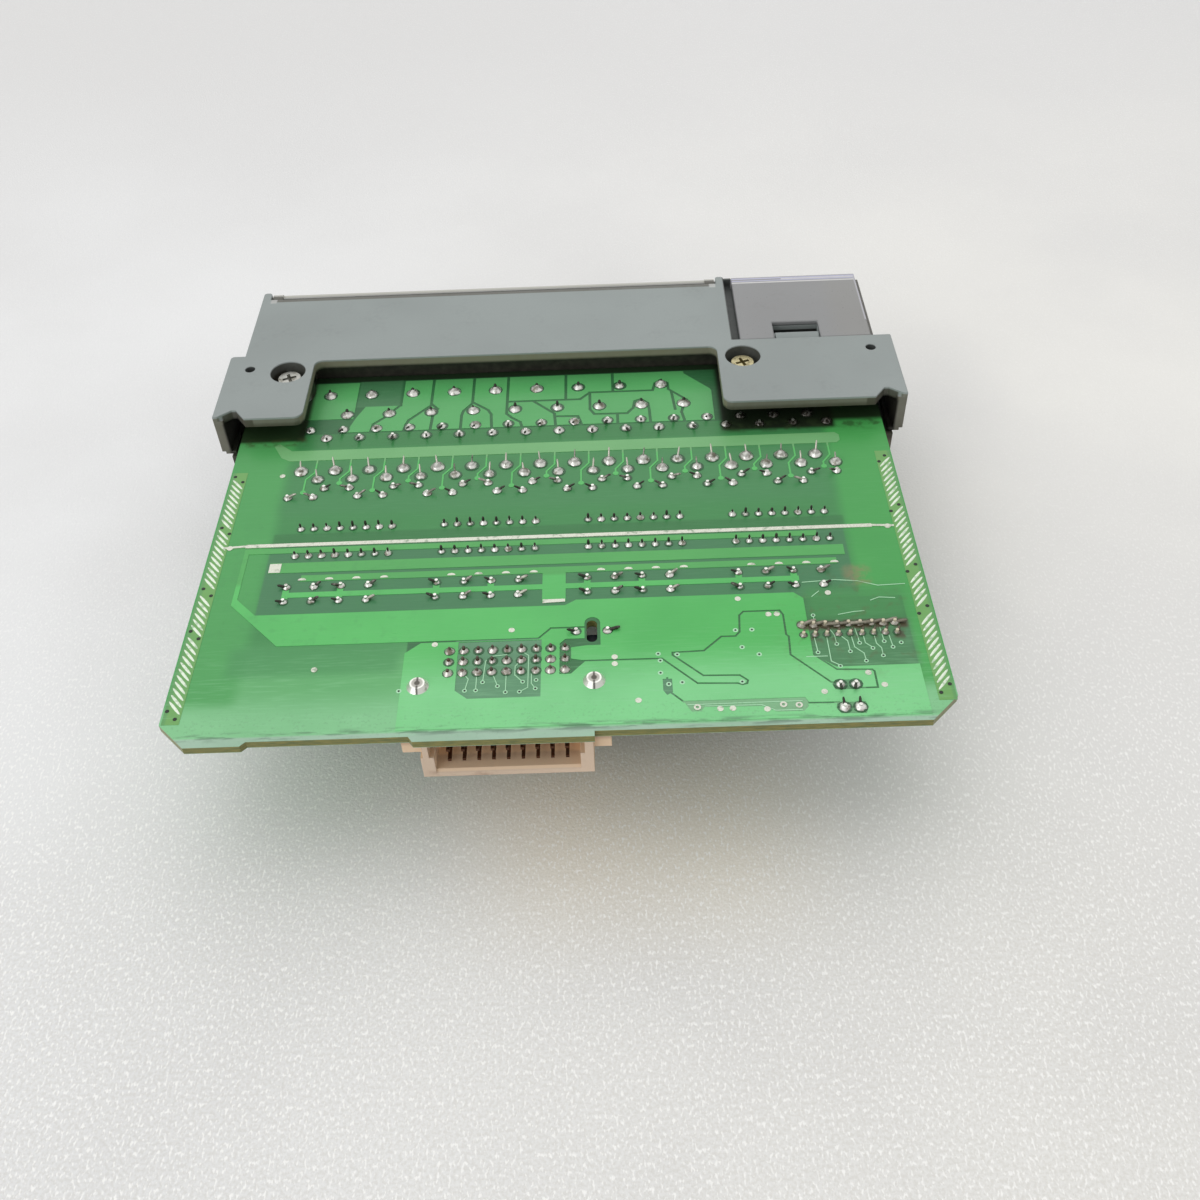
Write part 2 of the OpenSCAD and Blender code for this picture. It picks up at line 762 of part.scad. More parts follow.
// A slotted pan-head screw that points to -Y, with its head seated at y
module slotted_screw(x, y, z, shank_r, shank_l, head_r, head_h) {
    difference() {
        union() {
            rod_y(x, z, y - shank_l, y + 0.1, shank_r);
            rod_y(x, z, y, y + head_h, head_r);
        }
        block([x - 0.45, y + head_h - 0.8, z - head_r - 1], [x + 0.45, y + head_h + 1, z + head_r + 1]);
    }
}

module terminal_screws() {
    color([0.78, 0.78, 0.76]) for (terrace = [0, 1], x = terrace_poles(terrace))
        slotted_screw(
            x, terrace_face(terrace) + clamp_t, terrace_mid(terrace),
            screw_shank_r, clamp_t + 6, screw_head_r, screw_head_h
        );
}

module pressure_plates() {
    color([0.8, 0.78, 0.72]) for (terrace = [0, 1], x = terrace_poles(terrace)) {
        y = terrace_face(terrace);
        z = terrace_mid(terrace);
        difference() {
            along_x(x - plate_side / 2, x + plate_side / 2) {
                translate([y, z - plate_side / 2]) square([clamp_t, plate_side]);
            }
            rod_y(x, z, y - 1, y + clamp_t + 1, screw_shank_r + 0.15);
        }
    }
}

module socket_contacts() {
    color([0.8, 0.68, 0.4]) for (terrace = [0, 1], x = terrace_poles(terrace)) {
        z = blade_z(terrace);
        inner = header_blade / 2 + contact_clear;
        outer = inner + contact_wall;
        difference() {
            block([x - outer, block_back_y + 0.6, z - outer], [x + outer, block_back_y + 6.8, z + outer]);
            block([x - inner, block_back_y - 1, z - inner], [x + inner, block_back_y + 6, z + inner]);
        }
    }
}

module release_screws() {
    color([0.78, 0.78, 0.76]) for (side = [-1, 1])
        slotted_screw(
            block_mid_x + side * release_x, block_back_y + 6, terrace_z,
            screw_shank_r, 11.5, release_head_r, 2.2
        );
}

// Header that the block plugs onto

module header_pin(site, clear) {
    half = header_blade / 2 + clear;
    terrace = site[1] == header_row_1_y ? 1 : 0;
    z = blade_z(terrace);
    block([site[0] - half, site[1] - half, z - half], [site[0] + half, block_back_y + 5 + clear, z + half]);
    block([site[0] - half, site[1] - half, z - half], [site[0] + half, site[1] + half, comp_z + clear]);
}

module terminal_header() {
    color([0.14, 0.15, 0.15]) difference() {
        block(
            [block_mid_x - header_l / 2, header_row_2_y - 1.6, comp_z - header_h],
            [block_mid_x + header_l / 2, block_back_y - block_clear, comp_z]
        );
        for (site = header_sites()) header_pin(site, slip);
    }
}

module header_pins() {
    color([0.8, 0.8, 0.78]) for (site = header_sites()) {
        header_pin(site, 0);
        rod_z(site[0], site[1], comp_z - 0.2, solder_z + lead_tip, lead_r + 0.1);
    }
}

// Circuit board

module board_outline() {
    x = board_l / 2;
    step_y = 1.1;
    tab_left = contact_mid_x - 15.1;
    tab_right = contact_mid_x + 15.1;
    polygon([
        [-x, board_front_y], [-x, rear_y + board_chamfer + 0.2], [-x + board_chamfer, rear_y + 0.2],
        [-x + board_chamfer + 9.5, rear_y + 0.2], [-x + board_chamfer + 10.4, rear_y + step_y],
        [tab_left - 0.8, rear_y + step_y], [tab_left, rear_y], [tab_right, rear_y],
        [tab_right, rear_y + step_y], [x - board_chamfer, rear_y + step_y],
        [x, rear_y + step_y + board_chamfer], [x, board_front_y]
    ]);
}

module board_slot() {
    for (side = [-1, 1])
        translate([slot_x, slot_y + side * (slot_l - slot_w) / 2]) circle(slot_w / 2);
    translate([slot_x - slot_w / 2, slot_y - (slot_l - slot_w) / 2]) square([slot_w, slot_l - slot_w]);
}

module circuit_board() {
    sites = concat(
        opto_sites(), resistor_sites(), capacitor_sites(), pull_up_sites(), contact_sites(),
        ribbon_sites(), suppressor_sites(), diode_sites()
    );
    color([0.3, 0.66, 0.38]) translate([0, 0, comp_z]) linear_extrude(board_t) difference() {
        board_outline();
        board_slot();
        for (site = sites) translate(site) circle(hole_r);
        for (site = header_sites()) translate(site) circle(hole_r + 0.1);
        for (x = [screw_left_x, screw_right_x]) translate([x, screw_y]) circle(case_shank_r + 0.25);
        for (side = [-1, 1]) translate([contact_mid_x + side * lock_x, lock_y]) circle(lock_r + 0.1);
    }
}

module case_screw(x) {
    difference() {
        union() {
            rod_z(x, screw_y, comp_z - 8, sink_floor + 0.1, case_shank_r);
            rod_z(x, screw_y, sink_floor, sink_floor + case_head_h, case_head_r);
        }
        // cross recess
        for (turn = [0, 90])
            translate([x, screw_y, sink_floor + case_head_h]) rotate([0, 0, turn + 20])
                cube([3, 0.7, 2.2], center = true);
    }
}

module case_screw_left() { color([0.78, 0.78, 0.76]) case_screw(screw_left_x); }
module case_screw_right() { color([0.8, 0.76, 0.6]) case_screw(screw_right_x); }

// Backplane connector

module backplane_connector() {
    x0 = contact_mid_x - shroud_w / 2;
    x1 = contact_mid_x + shroud_w / 2;
    mouth_low = comp_z - shroud_h + shroud_wall;
    mouth_mid = comp_z - shroud_h / 2;
    color([0.74, 0.64, 0.54]) difference() {
        union() {
            block([x0, shroud_front_y, comp_z - shroud_h], [x1, shroud_front_y + shroud_d, comp_z]);
            // neck between the board locks
            block(
                [contact_mid_x - neck_w / 2, shroud_front_y + shroud_d - 0.1, comp_z - shroud_h],
                [contact_mid_x + neck_w / 2, shroud_back_y, comp_z]
            );
            // ears that the board locks pass through
            block(
                [contact_mid_x - lock_x - 2.7, shroud_front_y + 1.4, comp_z - 5.2],
                [contact_mid_x + lock_x + 2.7, shroud_back_y + 2, comp_z]
            );
        }
        // mouth, with ribs left standing at its ends and a lead-in along its lower edge
        along_x(x0 + shroud_end, x1 - shroud_end) polygon([
            [shroud_front_y - 1, mouth_low - mouth_lead - 1],
            [shroud_front_y, mouth_low - mouth_lead],
            [shroud_front_y + mouth_lead, mouth_low],
            [shroud_front_y + mouth_d, mouth_low],
            [shroud_front_y + mouth_d, comp_z - 1],
            [shroud_front_y - 1, comp_z - 1]
        ]);
        block(
            [x0 + shroud_end - key_w, shroud_front_y - 1, mouth_mid],
            [x1 - shroud_end + key_w, shroud_front_y + mouth_d, comp_z - 1]
        );
        // step in the outside of the left wall
        block(
            [x0 - 1, shroud_front_y - 1, mouth_mid],
            [x0 + 0.5, shroud_front_y + 1.4, comp_z + 1]
        );
        // gap for the legs behind the web
        block(
            [contact_x - 1.5, shroud_back_y, comp_z - 7],
            [contact_x + (contact_columns - 1) * pin_pitch + 1.5, shroud_back_y + 3, comp_z + 1]
        );
        for (site = contact_sites()) {
            z = contact_z - (site[1] - contact_row_y);
            half = contact_size / 2 + slip;
            block(
                [site[0] - half, shroud_front_y, z - half],
                [site[0] + half, shroud_back_y + 1, z + half]
            );
        }
        for (side = [-1, 1])
            rod_z(contact_mid_x + side * lock_x, lock_y, 0, far, lock_r + slip);
    }
}

module backplane_contacts() {
    half = contact_size / 2;
    color([0.42, 0.3, 0.22]) for (site = contact_sites()) {
        // each row of legs bends down to its own level of the mouth
        z = contact_z - (site[1] - contact_row_y);
        block([site[0] - half, shroud_front_y + 1.5, z - half], [site[0] + half, site[1] + half, z + half]);
        block([site[0] - half, site[1] - half, z - half], [site[0] + half, site[1] + half, comp_z - 0.4]);
        rod_z(site[0], site[1], comp_z - 0.5, solder_z + lead_tip, lead_r);
    }
}

module board_locks() {
    color([0.8, 0.78, 0.74]) for (side = [-1, 1]) {
        x = contact_mid_x + side * lock_x;
        rod_z(x, lock_y, comp_z - 5.3, solder_z + 0.1, lock_r);
        rod_z(x, lock_y, comp_z - 5.9, comp_z - 5.2, lock_r + 0.9);
        translate([x, lock_y, solder_z]) cylinder(h = 0.9, r1 = lock_head_r, r2 = lock_head_r * 0.65);
    }
}

// Optocouplers: moulded body with sloped flanks, one on every group of pins

opto_body_w = 6.3;
opto_body_l = 19.6;
opto_body_h = 3.4;
opto_stand = 0.6;

module optocoupler(group) {
    mid_x = datum_x + group * opto_pitch + (opto_pins - 1) * pin_pitch / 2;
    mid_y = datum_y - opto_span / 2;
    z = comp_z - opto_stand;
    half = opto_body_w / 2;
    color([0.12, 0.12, 0.13]) difference() {
        along_x(mid_x - opto_body_l / 2, mid_x + opto_body_l / 2)
            translate([mid_y, z]) polygon([
                [-half + 0.4, 0], [half - 0.4, 0], [half, -1.5], [half, -1.8],
                [half - 0.5, -opto_body_h], [-half + 0.5, -opto_body_h], [-half, -1.8], [-half, -1.5]
            ]);
        // orientation notch
        translate([mid_x - opto_body_l / 2, mid_y, z - opto_body_h - 1]) cylinder(h = 1.6, r = 1);
    }
}

module optocoupler_1() { optocoupler(0); }
module optocoupler_2() { optocoupler(1); }
module optocoupler_3() { optocoupler(2); }
module optocoupler_4() { optocoupler(3); }

module optocoupler_leads() {
    mid_y = datum_y - opto_span / 2;
    color([0.78, 0.78, 0.76]) for (site = opto_sites()) {
        side = site[1] > mid_y ? 1 : -1;
        z = comp_z - opto_stand - 1.52;
        inner = mid_y + side * opto_body_w / 2;
        outer = site[1] + side * 0.15;
        block(
            [site[0] - 0.7, min(inner, outer), z - 0.13],
            [site[0] + 0.7, max(inner, outer), z + 0.13]
        );
        block([site[0] - 0.7, site[1] - 0.15, z - 0.13], [site[0] + 0.7, site[1] + 0.15, comp_z - 0.3]);
        block(
            [site[0] - 0.25, site[1] - 0.15, comp_z - 0.4],
            [site[0] + 0.25, site[1] + 0.15, solder_z + lead_tip]
        );
    }
}

// Axial parts, lying along Y or X on bent leads

module axial_body_y(x, y0, y1, z, r, l) {
    mid = (y0 + y1) / 2;
    rod_y(x, z, mid - l / 2, mid + l / 2, r * 0.86);
    for (side = [-1, 1])
        translate([x, mid + side * (l / 2 - l * 0.14) - l * 0.14, z]) rotate([-90, 0, 0])
            cylinder(h = l * 0.28, r = r);
}

module axial_leads_y(x, y0, y1, z, l) {
    mid = (y0 + y1) / 2;
    for (end = [[y0, mid - l / 2], [mid + l / 2, y1]])
        rod_y(x, z, end[0], end[1], lead_r);
    for (y = [y0, y1]) {
        translate([x, y, z]) sphere(lead_r);
        rod_z(x, y, z, solder_z + lead_tip, lead_r);
    }
}

resistor_z = comp_z - 0.4 - resistor_r;

module input_resistors() {
    color([0.75, 0.66, 0.5]) for (line = resistor_lines())
        axial_body_y(line[0], line[1], line[2], resistor_z, resistor_r, resistor_l);
}

module input_resistor_leads() {
    color([0.78, 0.78, 0.76]) for (line = resistor_lines())
        axial_leads_y(line[0], line[1], line[2], resistor_z, resistor_l);
}

film_l = 6.8;
film_w = 2.3;
film_h = 6.5;

module filter_capacitors() {
    color([0.66, 0.14, 0.12]) for (line = capacitor_lines())
        translate([line[0] + pin_pitch - film_l / 2, line[1] - film_w / 2, comp_z - 0.3 - film_h])
            linear_extrude(film_h) rounded_plate(0, 0, film_l, film_w, 0.4);
}

module filter_capacitor_leads() {
    color([0.78, 0.78, 0.76]) for (site = capacitor_sites())
        rod_z(site[0], site[1], comp_z - 0.3, solder_z + lead_tip, lead_r);
}

pull_up_r = 0.9;
pull_up_l = 3.2;
pull_up_z = comp_z - 0.4 - pull_up_r;

module pull_up_resistors() {
    color([0.75, 0.66, 0.5]) for (line = pull_up_lines())
        translate([line[0] + pin_pitch - pull_up_l / 2, line[1], pull_up_z]) rotate([0, 90, 0])
            cylinder(h = pull_up_l, r = pull_up_r);
}

module pull_up_resistor_leads() {
    color([0.78, 0.78, 0.76]) for (line = pull_up_lines(), side = [-1, 1]) {
        mid = line[0] + pin_pitch;
        end = mid + side * pin_pitch;
        near = mid + side * pull_up_l / 2;
        translate([min(end, near), line[1], pull_up_z]) rotate([0, 90, 0])
            cylinder(h = abs(end - near), r = lead_r);
        translate([end, line[1], pull_up_z]) sphere(lead_r);
        rod_z(end, line[1], pull_up_z, solder_z + lead_tip, lead_r);
    }
}

disc_r = 4.6;
disc_t = 3.4;

module suppressor_disc() {
    color([0.2, 0.4, 0.7])
        rod_y(slot_x, comp_z - 1.2 - disc_r, slot_y - disc_t / 2, slot_y + disc_t / 2, disc_r);
}

module suppressor_leads() {
    rise = sqrt(disc_r * disc_r - disc_lead * disc_lead);
    color([0.78, 0.78, 0.76]) difference() {
        for (site = suppressor_sites())
            rod_z(site[0], site[1], comp_z - 1.2 - disc_r + rise - 1, solder_z + lead_tip, lead_r);
        rod_y(slot_x, comp_z - 1.2 - disc_r, slot_y - 5, slot_y + 5, disc_r + 0.01);
    }
}

diode_r = 0.95;
diode_l = 3;
diode_z = comp_z - 0.4 - diode_r;

module clamp_diodes() {
    color([0.14, 0.14, 0.15]) for (line = diode_lines()) {
        start = (line[1] + line[2] - diode_l) / 2;
        rod_y(line[0], diode_z, start, start + diode_l, diode_r);
    }
}

module clamp_diode_leads() {
    color([0.78, 0.78, 0.76]) for (line = diode_lines())
        axial_leads_y(line[0], line[1], line[2], diode_z, diode_l);
}

// Bus interface chip, a square package on folded leads

chip_side = 16;
chip_h = 3.6;
chip_x = datum_x + 79;
chip_y = datum_y - 35.5;
chip_pins = 11;
chip_pitch = 1.27;

module interface_chip() {
    half = chip_side / 2;
    color([0.12, 0.12, 0.13]) difference() {
        along_x(chip_x - half, chip_x + half)
            translate([chip_y, comp_z - 0.5]) polygon([
                [-half + 0.3, 0], [half - 0.3, 0], [half, -chip_h / 2],
                [half - 0.3, -chip_h], [-half + 0.3, -chip_h], [-half, -chip_h / 2]
            ]);
        translate([chip_x - half, chip_y - half, 0]) rotate([0, 0, 45]) cube([2.4, 2.4, far], center = true);
    }
}

module interface_chip_leads() {
    color([0.78, 0.78, 0.76]) for (turn = [0 : 90 : 270], i = [0 : chip_pins - 1])
        translate([chip_x, chip_y, comp_z]) rotate([0, 0, turn])
            translate([(i - (chip_pins - 1) / 2) * chip_pitch - 0.25, chip_side / 2, -chip_h / 2 - 0.6]) {
                cube([0.5, 0.5, 0.2]);
                translate([0, 0.3, 0]) cube([0.5, 0.2, chip_h / 2 + 0.6]);
            }
}

module chip_capacitors() {
    color([0.7, 0.6, 0.45]) for (i = [0 : 3], row = [0, 1])
        translate([chip_x - 7 + i * 4, chip_y + (row == 0 ? -12 : 11), comp_z - 1.1])
            cube([2, 1.25, 1.1]);
}

// Solder on the far side of the board, wetted round the lead tips

module solder_fillet(site, r, tip_r) {
    translate([site[0], site[1], solder_z]) difference() {
        cylinder(h = fillet_h, r1 = r, r2 = tip_r + 0.2);
        translate([0, 0, -1]) cylinder(h = 1 + lead_tip + slip, r = tip_r + slip);
    }
}

solder_grey = [0.82, 0.82, 0.8];

module header_solder() {
    color(solder_grey) for (site = header_sites())
        solder_fillet(site, 1.2, lead_r + 0.1);
}

module channel_solder() {
    color(solder_grey) for (site = concat(resistor_sites(), capacitor_sites()))
        solder_fillet(site, fillet_r, lead_r);
}

module optocoupler_solder() {
    color(solder_grey) for (site = opto_sites())
        solder_fillet(site, fillet_r, lead_r);
}

module pull_up_solder() {
    color(solder_grey) for (site = pull_up_sites())
        solder_fillet(site, fillet_r, lead_r);
}

module connector_solder() {
    color(solder_grey) for (site = contact_sites())
        solder_fillet(site, fillet_r, lead_r);
}

module small_part_solder() {
    color(solder_grey) for (site = concat(ribbon_sites(), suppressor_sites(), diode_sites()))
        solder_fillet(site, 0.85, lead_r);
}

housing_shell();
solder_side_cover();
terminal_door();
door_card();
indicator_window();
led_mask();
led_board();
status_leds();
led_ribbon();
ribbon_header();
terminal_block();
terminal_screws();
pressure_plates();
socket_contacts();
release_screws();
terminal_header();
header_pins();
circuit_board();
case_screw_left();
case_screw_right();
backplane_connector();
backplane_contacts();
board_locks();
optocoupler_1();
optocoupler_2();
optocoupler_3();
optocoupler_4();
optocoupler_leads();
input_resistors();
input_resistor_leads();
filter_capacitors();
filter_capacitor_leads();
pull_up_resistors();
pull_up_resistor_leads();
suppressor_disc();
suppressor_leads();
clamp_diodes();
clamp_diode_leads();
interface_chip();
interface_chip_leads();
chip_capacitors();
header_solder();
channel_solder();
optocoupler_solder();
pull_up_solder();
connector_solder();
small_part_solder();
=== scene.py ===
"""Finish of a sixteen-channel input module that lies on its component side.

Layout classes hold millimetres, counted on the board from the first pin of the first
optocoupler: x along the rack's height, y towards the terminal door, z up from the solder face.
They become metres in the part's frame where a mesh is made.
"""

import json
import logging
import math
from dataclasses import dataclass, field
from enum import Enum
from typing import Any, Callable, Iterable, Sequence

import bmesh
import bpy
from mathutils import Matrix, Vector
from mathutils.geometry import delaunay_2d_cdt

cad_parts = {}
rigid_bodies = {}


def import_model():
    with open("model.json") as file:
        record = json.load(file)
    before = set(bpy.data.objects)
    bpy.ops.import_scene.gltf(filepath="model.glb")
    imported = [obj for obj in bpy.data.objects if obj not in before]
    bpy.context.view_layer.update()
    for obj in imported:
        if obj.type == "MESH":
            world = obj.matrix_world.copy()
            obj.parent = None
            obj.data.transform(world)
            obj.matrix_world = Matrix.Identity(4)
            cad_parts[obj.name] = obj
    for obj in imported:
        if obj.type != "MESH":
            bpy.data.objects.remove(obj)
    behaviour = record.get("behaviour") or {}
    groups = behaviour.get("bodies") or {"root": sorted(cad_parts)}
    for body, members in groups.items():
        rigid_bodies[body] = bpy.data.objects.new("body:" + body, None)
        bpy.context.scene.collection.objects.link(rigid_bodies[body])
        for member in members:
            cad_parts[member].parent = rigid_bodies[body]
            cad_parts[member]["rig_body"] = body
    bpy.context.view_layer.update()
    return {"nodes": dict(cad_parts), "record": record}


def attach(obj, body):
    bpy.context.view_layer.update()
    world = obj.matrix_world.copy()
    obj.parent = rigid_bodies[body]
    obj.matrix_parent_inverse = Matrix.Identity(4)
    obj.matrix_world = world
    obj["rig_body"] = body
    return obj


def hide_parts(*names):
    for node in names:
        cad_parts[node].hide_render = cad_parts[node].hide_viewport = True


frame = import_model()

log = logging.getLogger("input_module")

MM = 0.001
BODY = "module"

Triple = tuple[float, float, float]
Colour = Triple
Point = tuple[float, float]
Span = tuple[float, float]
Outline = list[Point]

TOUCHING = 1e-7     # corners of one solid, in metres
WELD = 2e-6         # corners joined before rounding, in metres
FLAT = math.radians(0.6)
SHARP = math.radians(32)
SMALL_FACE = 4.0    # square millimetres, below which a face is shaded smooth
JOINT_FOOT = -0.05  # how deep joints and layers reach into the board
LAYER_FOOT = -0.02
BEVEL_SAMPLES = 4


@dataclass(frozen=True)
class Datum:
    """The first pin of the first optocoupler on the solder face, in the part's frame."""

    x: float = -50.3
    y: float = -11.6
    face: float = 28.7
    board: float = 1.6

    def place(self, x: float, y: float, z: float = 0.0) -> Vector:
        """A point given in board millimetres, in metres in the part's frame."""
        return Vector(((x + self.x) * MM, (y + self.y) * MM, (z + self.face) * MM))


DATUM = Datum()


# Node trees


def _operator(operation: str, flipped: bool = False) -> Callable[["Shade", Any], "Shade"]:
    """A method that joins two values in a Math node; flipped puts the other value first."""

    def apply(self: "Shade", other: Any) -> "Shade":
        """Adds the node."""
        values = (other, self) if flipped else (self, other)
        return self.nodes.node("ShaderNodeMath", {"operation": operation}, dict(enumerate(values)))

    return apply


class Shade:
    """A node socket that can be used in sums, products and comparisons."""

    __add__ = __radd__ = _operator("ADD")
    __sub__ = _operator("SUBTRACT")
    __rsub__ = _operator("SUBTRACT", flipped=True)
    __mul__ = __rmul__ = _operator("MULTIPLY")
    __truediv__ = _operator("DIVIDE")
    __pow__ = _operator("POWER")
    least = _operator("MINIMUM")
    most = _operator("MAXIMUM")

    def __init__(self, nodes: "Nodes", socket: bpy.types.NodeSocket) -> None:
        """Wraps one output socket of a tree."""
        self.nodes = nodes
        self.socket = socket

    def __abs__(self) -> "Shade":
        """Absolute value."""
        return self.nodes.node("ShaderNodeMath", {"operation": "ABSOLUTE"}, {0: self})

    def swing(self, width: float) -> "Shade":
        """Noise from 0 to 1 as a swing about 0, width from end to end."""
        return (self - 0.5) * width

    def ease(self, low: float, high: float) -> "Shade":
        """A smooth step.

        Args:
            low: the value at which the step starts; above high, the step falls.
            high: the value at which it ends.

        Returns:
            0 before low, 1 past high and a smooth rise between them.
        """
        settings = {"interpolation_type": "SMOOTHSTEP", "clamp": True}
        if low < high:
            return self.nodes.node("ShaderNodeMapRange", settings, {0: self, 1: low, 2: high})
        return 1.0 - self.nodes.node("ShaderNodeMapRange", settings, {0: self, 1: high, 2: low})


class Nodes:
    """Writes a node tree."""

    def __init__(self, tree: bpy.types.NodeTree) -> None:
        """Starts on an empty tree."""
        self.tree = tree

    def node(
        self, kind: str, settings: dict[str, Any], inputs: dict[Any, Any], output: Any = 0
    ) -> Shade:
        """Adds one node.

        Args:
            kind: the node's type.
            settings: its properties, which are set first.
            inputs: a value or a Shade for each socket, by name or place.
            output: the name or place of the socket to return.

        Returns:
            The chosen output, or nothing where output is None.
        """
        made = self.tree.nodes.new(kind)
        for key, value in settings.items():
            setattr(made, key, value)
        for key, value in inputs.items():
            if isinstance(value, Shade):
                self.tree.links.new(value.socket, made.inputs[key])
            else:
                made.inputs[key].default_value = value
        return None if output is None else Shade(self, made.outputs[output])


class Finish(Nodes):
    """Writes one material, on places in millimetres in the part's frame."""

    def __init__(self, name: str) -> None:
        """Makes an empty material of that name."""
        self.material = bpy.data.materials.new(name)
        self.material.use_nodes = True
        super().__init__(self.material.node_tree)
        self.tree.nodes.clear()
        spot = self.node("ShaderNodeTexCoord", {}, {}, "Object")
        self.millimetres = self.node(
            "ShaderNodeVectorMath", {"operation": "SCALE"}, {0: spot, "Scale": 1.0 / MM}
        )
        self.x, self.y, self.z = (
            self.node("ShaderNodeSeparateXYZ", {}, {0: self.millimetres}, axis) for axis in "XYZ"
        )
        self.board_x = self.x - DATUM.x
        self.board_y = self.y - DATUM.y
        self.noises: dict[tuple, Shade] = {}

    def noise(self, cloud: "Cloud") -> Shade:
        """Plain noise from 0 to 1, made once for each scale, detail and stretch."""
        key = (cloud.scale, cloud.detail, cloud.stretch)
        if key not in self.noises:
            where = self.millimetres
            if cloud.stretch:
                where = self.node(
                    "ShaderNodeVectorMath", {"operation": "MULTIPLY"}, {0: where, 1: cloud.stretch}
                )
            inputs = {"Vector": where, "Scale": cloud.scale, "Detail": cloud.detail}
            self.noises[key] = self.node("ShaderNodeTexNoise", {}, inputs)
        return self.noises[key]

    def cloud(self, cloud: "Cloud") -> Shade:
        """Noise as 0 below its low level, 1 above its high one and a smooth rise between."""
        return self.noise(cloud).ease(cloud.low, cloud.high)

    def mix(self, share: Shade | float, low: Any, high: Any) -> Shade:
        """A blend of two colours; a plain colour is three numbers."""
        low, high = ((*c, 1.0) if isinstance(c, tuple) else c for c in (low, high))
        return self.node("ShaderNodeMix", {"data_type": "RGBA"}, {0: share, 6: low, 7: high}, 2)

    def between(self, axis: Shade, span: Span, soft: float) -> Shade:
        """1 where a coordinate lies within a span and 0 outside it, with soft ends."""
        low, high = span
        return axis.ease(low - soft, low + soft) * axis.ease(high + soft, high - soft)

    def patch(self, x: Span, y: Span, soft: float) -> Shade:
        """A soft rectangle in board millimetres, 1 inside and 0 outside."""
        return self.between(self.board_x, x, soft) * self.between(self.board_y, y, soft)

    def marked(self, tone: Any, marks: "Iterable[Mark]", scale: Shade | None = None) -> Any:
        """Lays marks over a colour, in order.

        Args:
            tone: the colour under them.
            marks: the zones, wells or patches.
            scale: how strongly they show, or None for their own strength.

        Returns:
            The colour with the marks on it.
        """
        for mark in marks:
            share = mark.on(self)
            tone = self.mix(share if scale is None else share * scale, tone, mark.colour)
        return tone

    def bump(self, height: Shade, depth: float, normal: Shade | None = None) -> Shade:
        """A Bump node's normal for a height from 0 to 1 that is depth millimetres deep."""
        inputs = {"Height": height, "Distance": depth * MM, "Strength": 1.0}
        if normal is not None:
            inputs["Normal"] = normal
        return self.node("ShaderNodeBump", {}, inputs)

    def shader(self, **inputs: Any) -> Shade:
        """Adds a Principled shader.

        Args:
            inputs: a value or a Shade for each socket, with _ for a space in its name.

        Returns:
            The shader.
        """
        named = {key.replace("_", " "): value for key, value in inputs.items()}
        for key, value in named.items():
            if isinstance(value, tuple) and len(value) == 3:
                named[key] = (*value, 1.0)
        return self.node("ShaderNodeBsdfPrincipled", {}, named)

    def end(self, shader: Shade) -> bpy.types.Material:
        """Ends the material in a shader and returns the material."""
        self.node("ShaderNodeOutputMaterial", {}, {"Surface": shader}, None)
        return self.material

    def surface(self, **inputs: Any) -> bpy.types.Material:
        """Ends the material in one Principled shader, with the inputs that shader takes."""
        return self.end(self.shader(**inputs))


# Marks


@dataclass(frozen=True)
class Cloud:
    """Noise, with the levels between which it takes effect.

    The scale is in waves per millimetre, and stretch multiplies it along each axis.
    """

    scale: float
    detail: float
    low: float = 0.0
    high: float = 1.0
    stretch: Triple | None = None


@dataclass(frozen=True)
class Zone:
    """A soft-edged region of a finish in a colour, mostly painted shade and highlights, in the
    part's millimetres.
    """

    x: Span
    y: Span
    z: Span
    colour: Colour
    share: float = 0.9
    soft: float = 0.15

    def on(self, f: Finish) -> Shade:
        """How strongly the zone shows at each place of a finish."""
        share: Any = self.share
        for axis, span in ((f.x, self.x), (f.y, self.y), (f.z, self.z)):
            share = f.between(axis, span, self.soft) * share
        return share


@dataclass(frozen=True)
class Well:
    """A round sinking below the top of a moulding, painted dark inside as shade, in the part's
    millimetres.
    """

    x: float
    y: float
    radius: float
    colour: Colour
    share: float = 0.9
    top: float = 34.25
    depth: float = 8.0
    soft: float = 0.15
    step: float = 0.1

    def on(self, f: Finish) -> Shade:
        """How strongly the well shows at each place of a finish."""
        away = ((f.x - self.x) ** 2.0 + (f.y - self.y) ** 2.0) ** 0.5
        floor = self.top - self.depth
        deep = f.z.ease(self.top + self.step, self.top - self.step)
        deep = deep * f.z.ease(floor - self.step, floor)
        return away.ease(self.radius + self.soft, self.radius - self.soft) * deep * self.share


@dataclass(frozen=True)
class Patch:
    """A soft rectangle on the board, in board millimetres, whole or broken up by a cloud."""

    x: Span
    y: Span
    soft: float
    colour: Colour
    share: float
    cloud: Cloud | None = None

    def on(self, f: Finish) -> Shade:
        """How strongly the patch shows at each place of a finish."""
        share = f.patch(self.x, self.y, self.soft)
        if self.cloud is not None:
            share = share * f.cloud(self.cloud)
        return share * self.share


Mark = Zone | Well | Patch


def blotch(low: float, high: float) -> Cloud:
    """Blotches that set in between two levels."""
    return Cloud(0.5, 5.0, low, high)


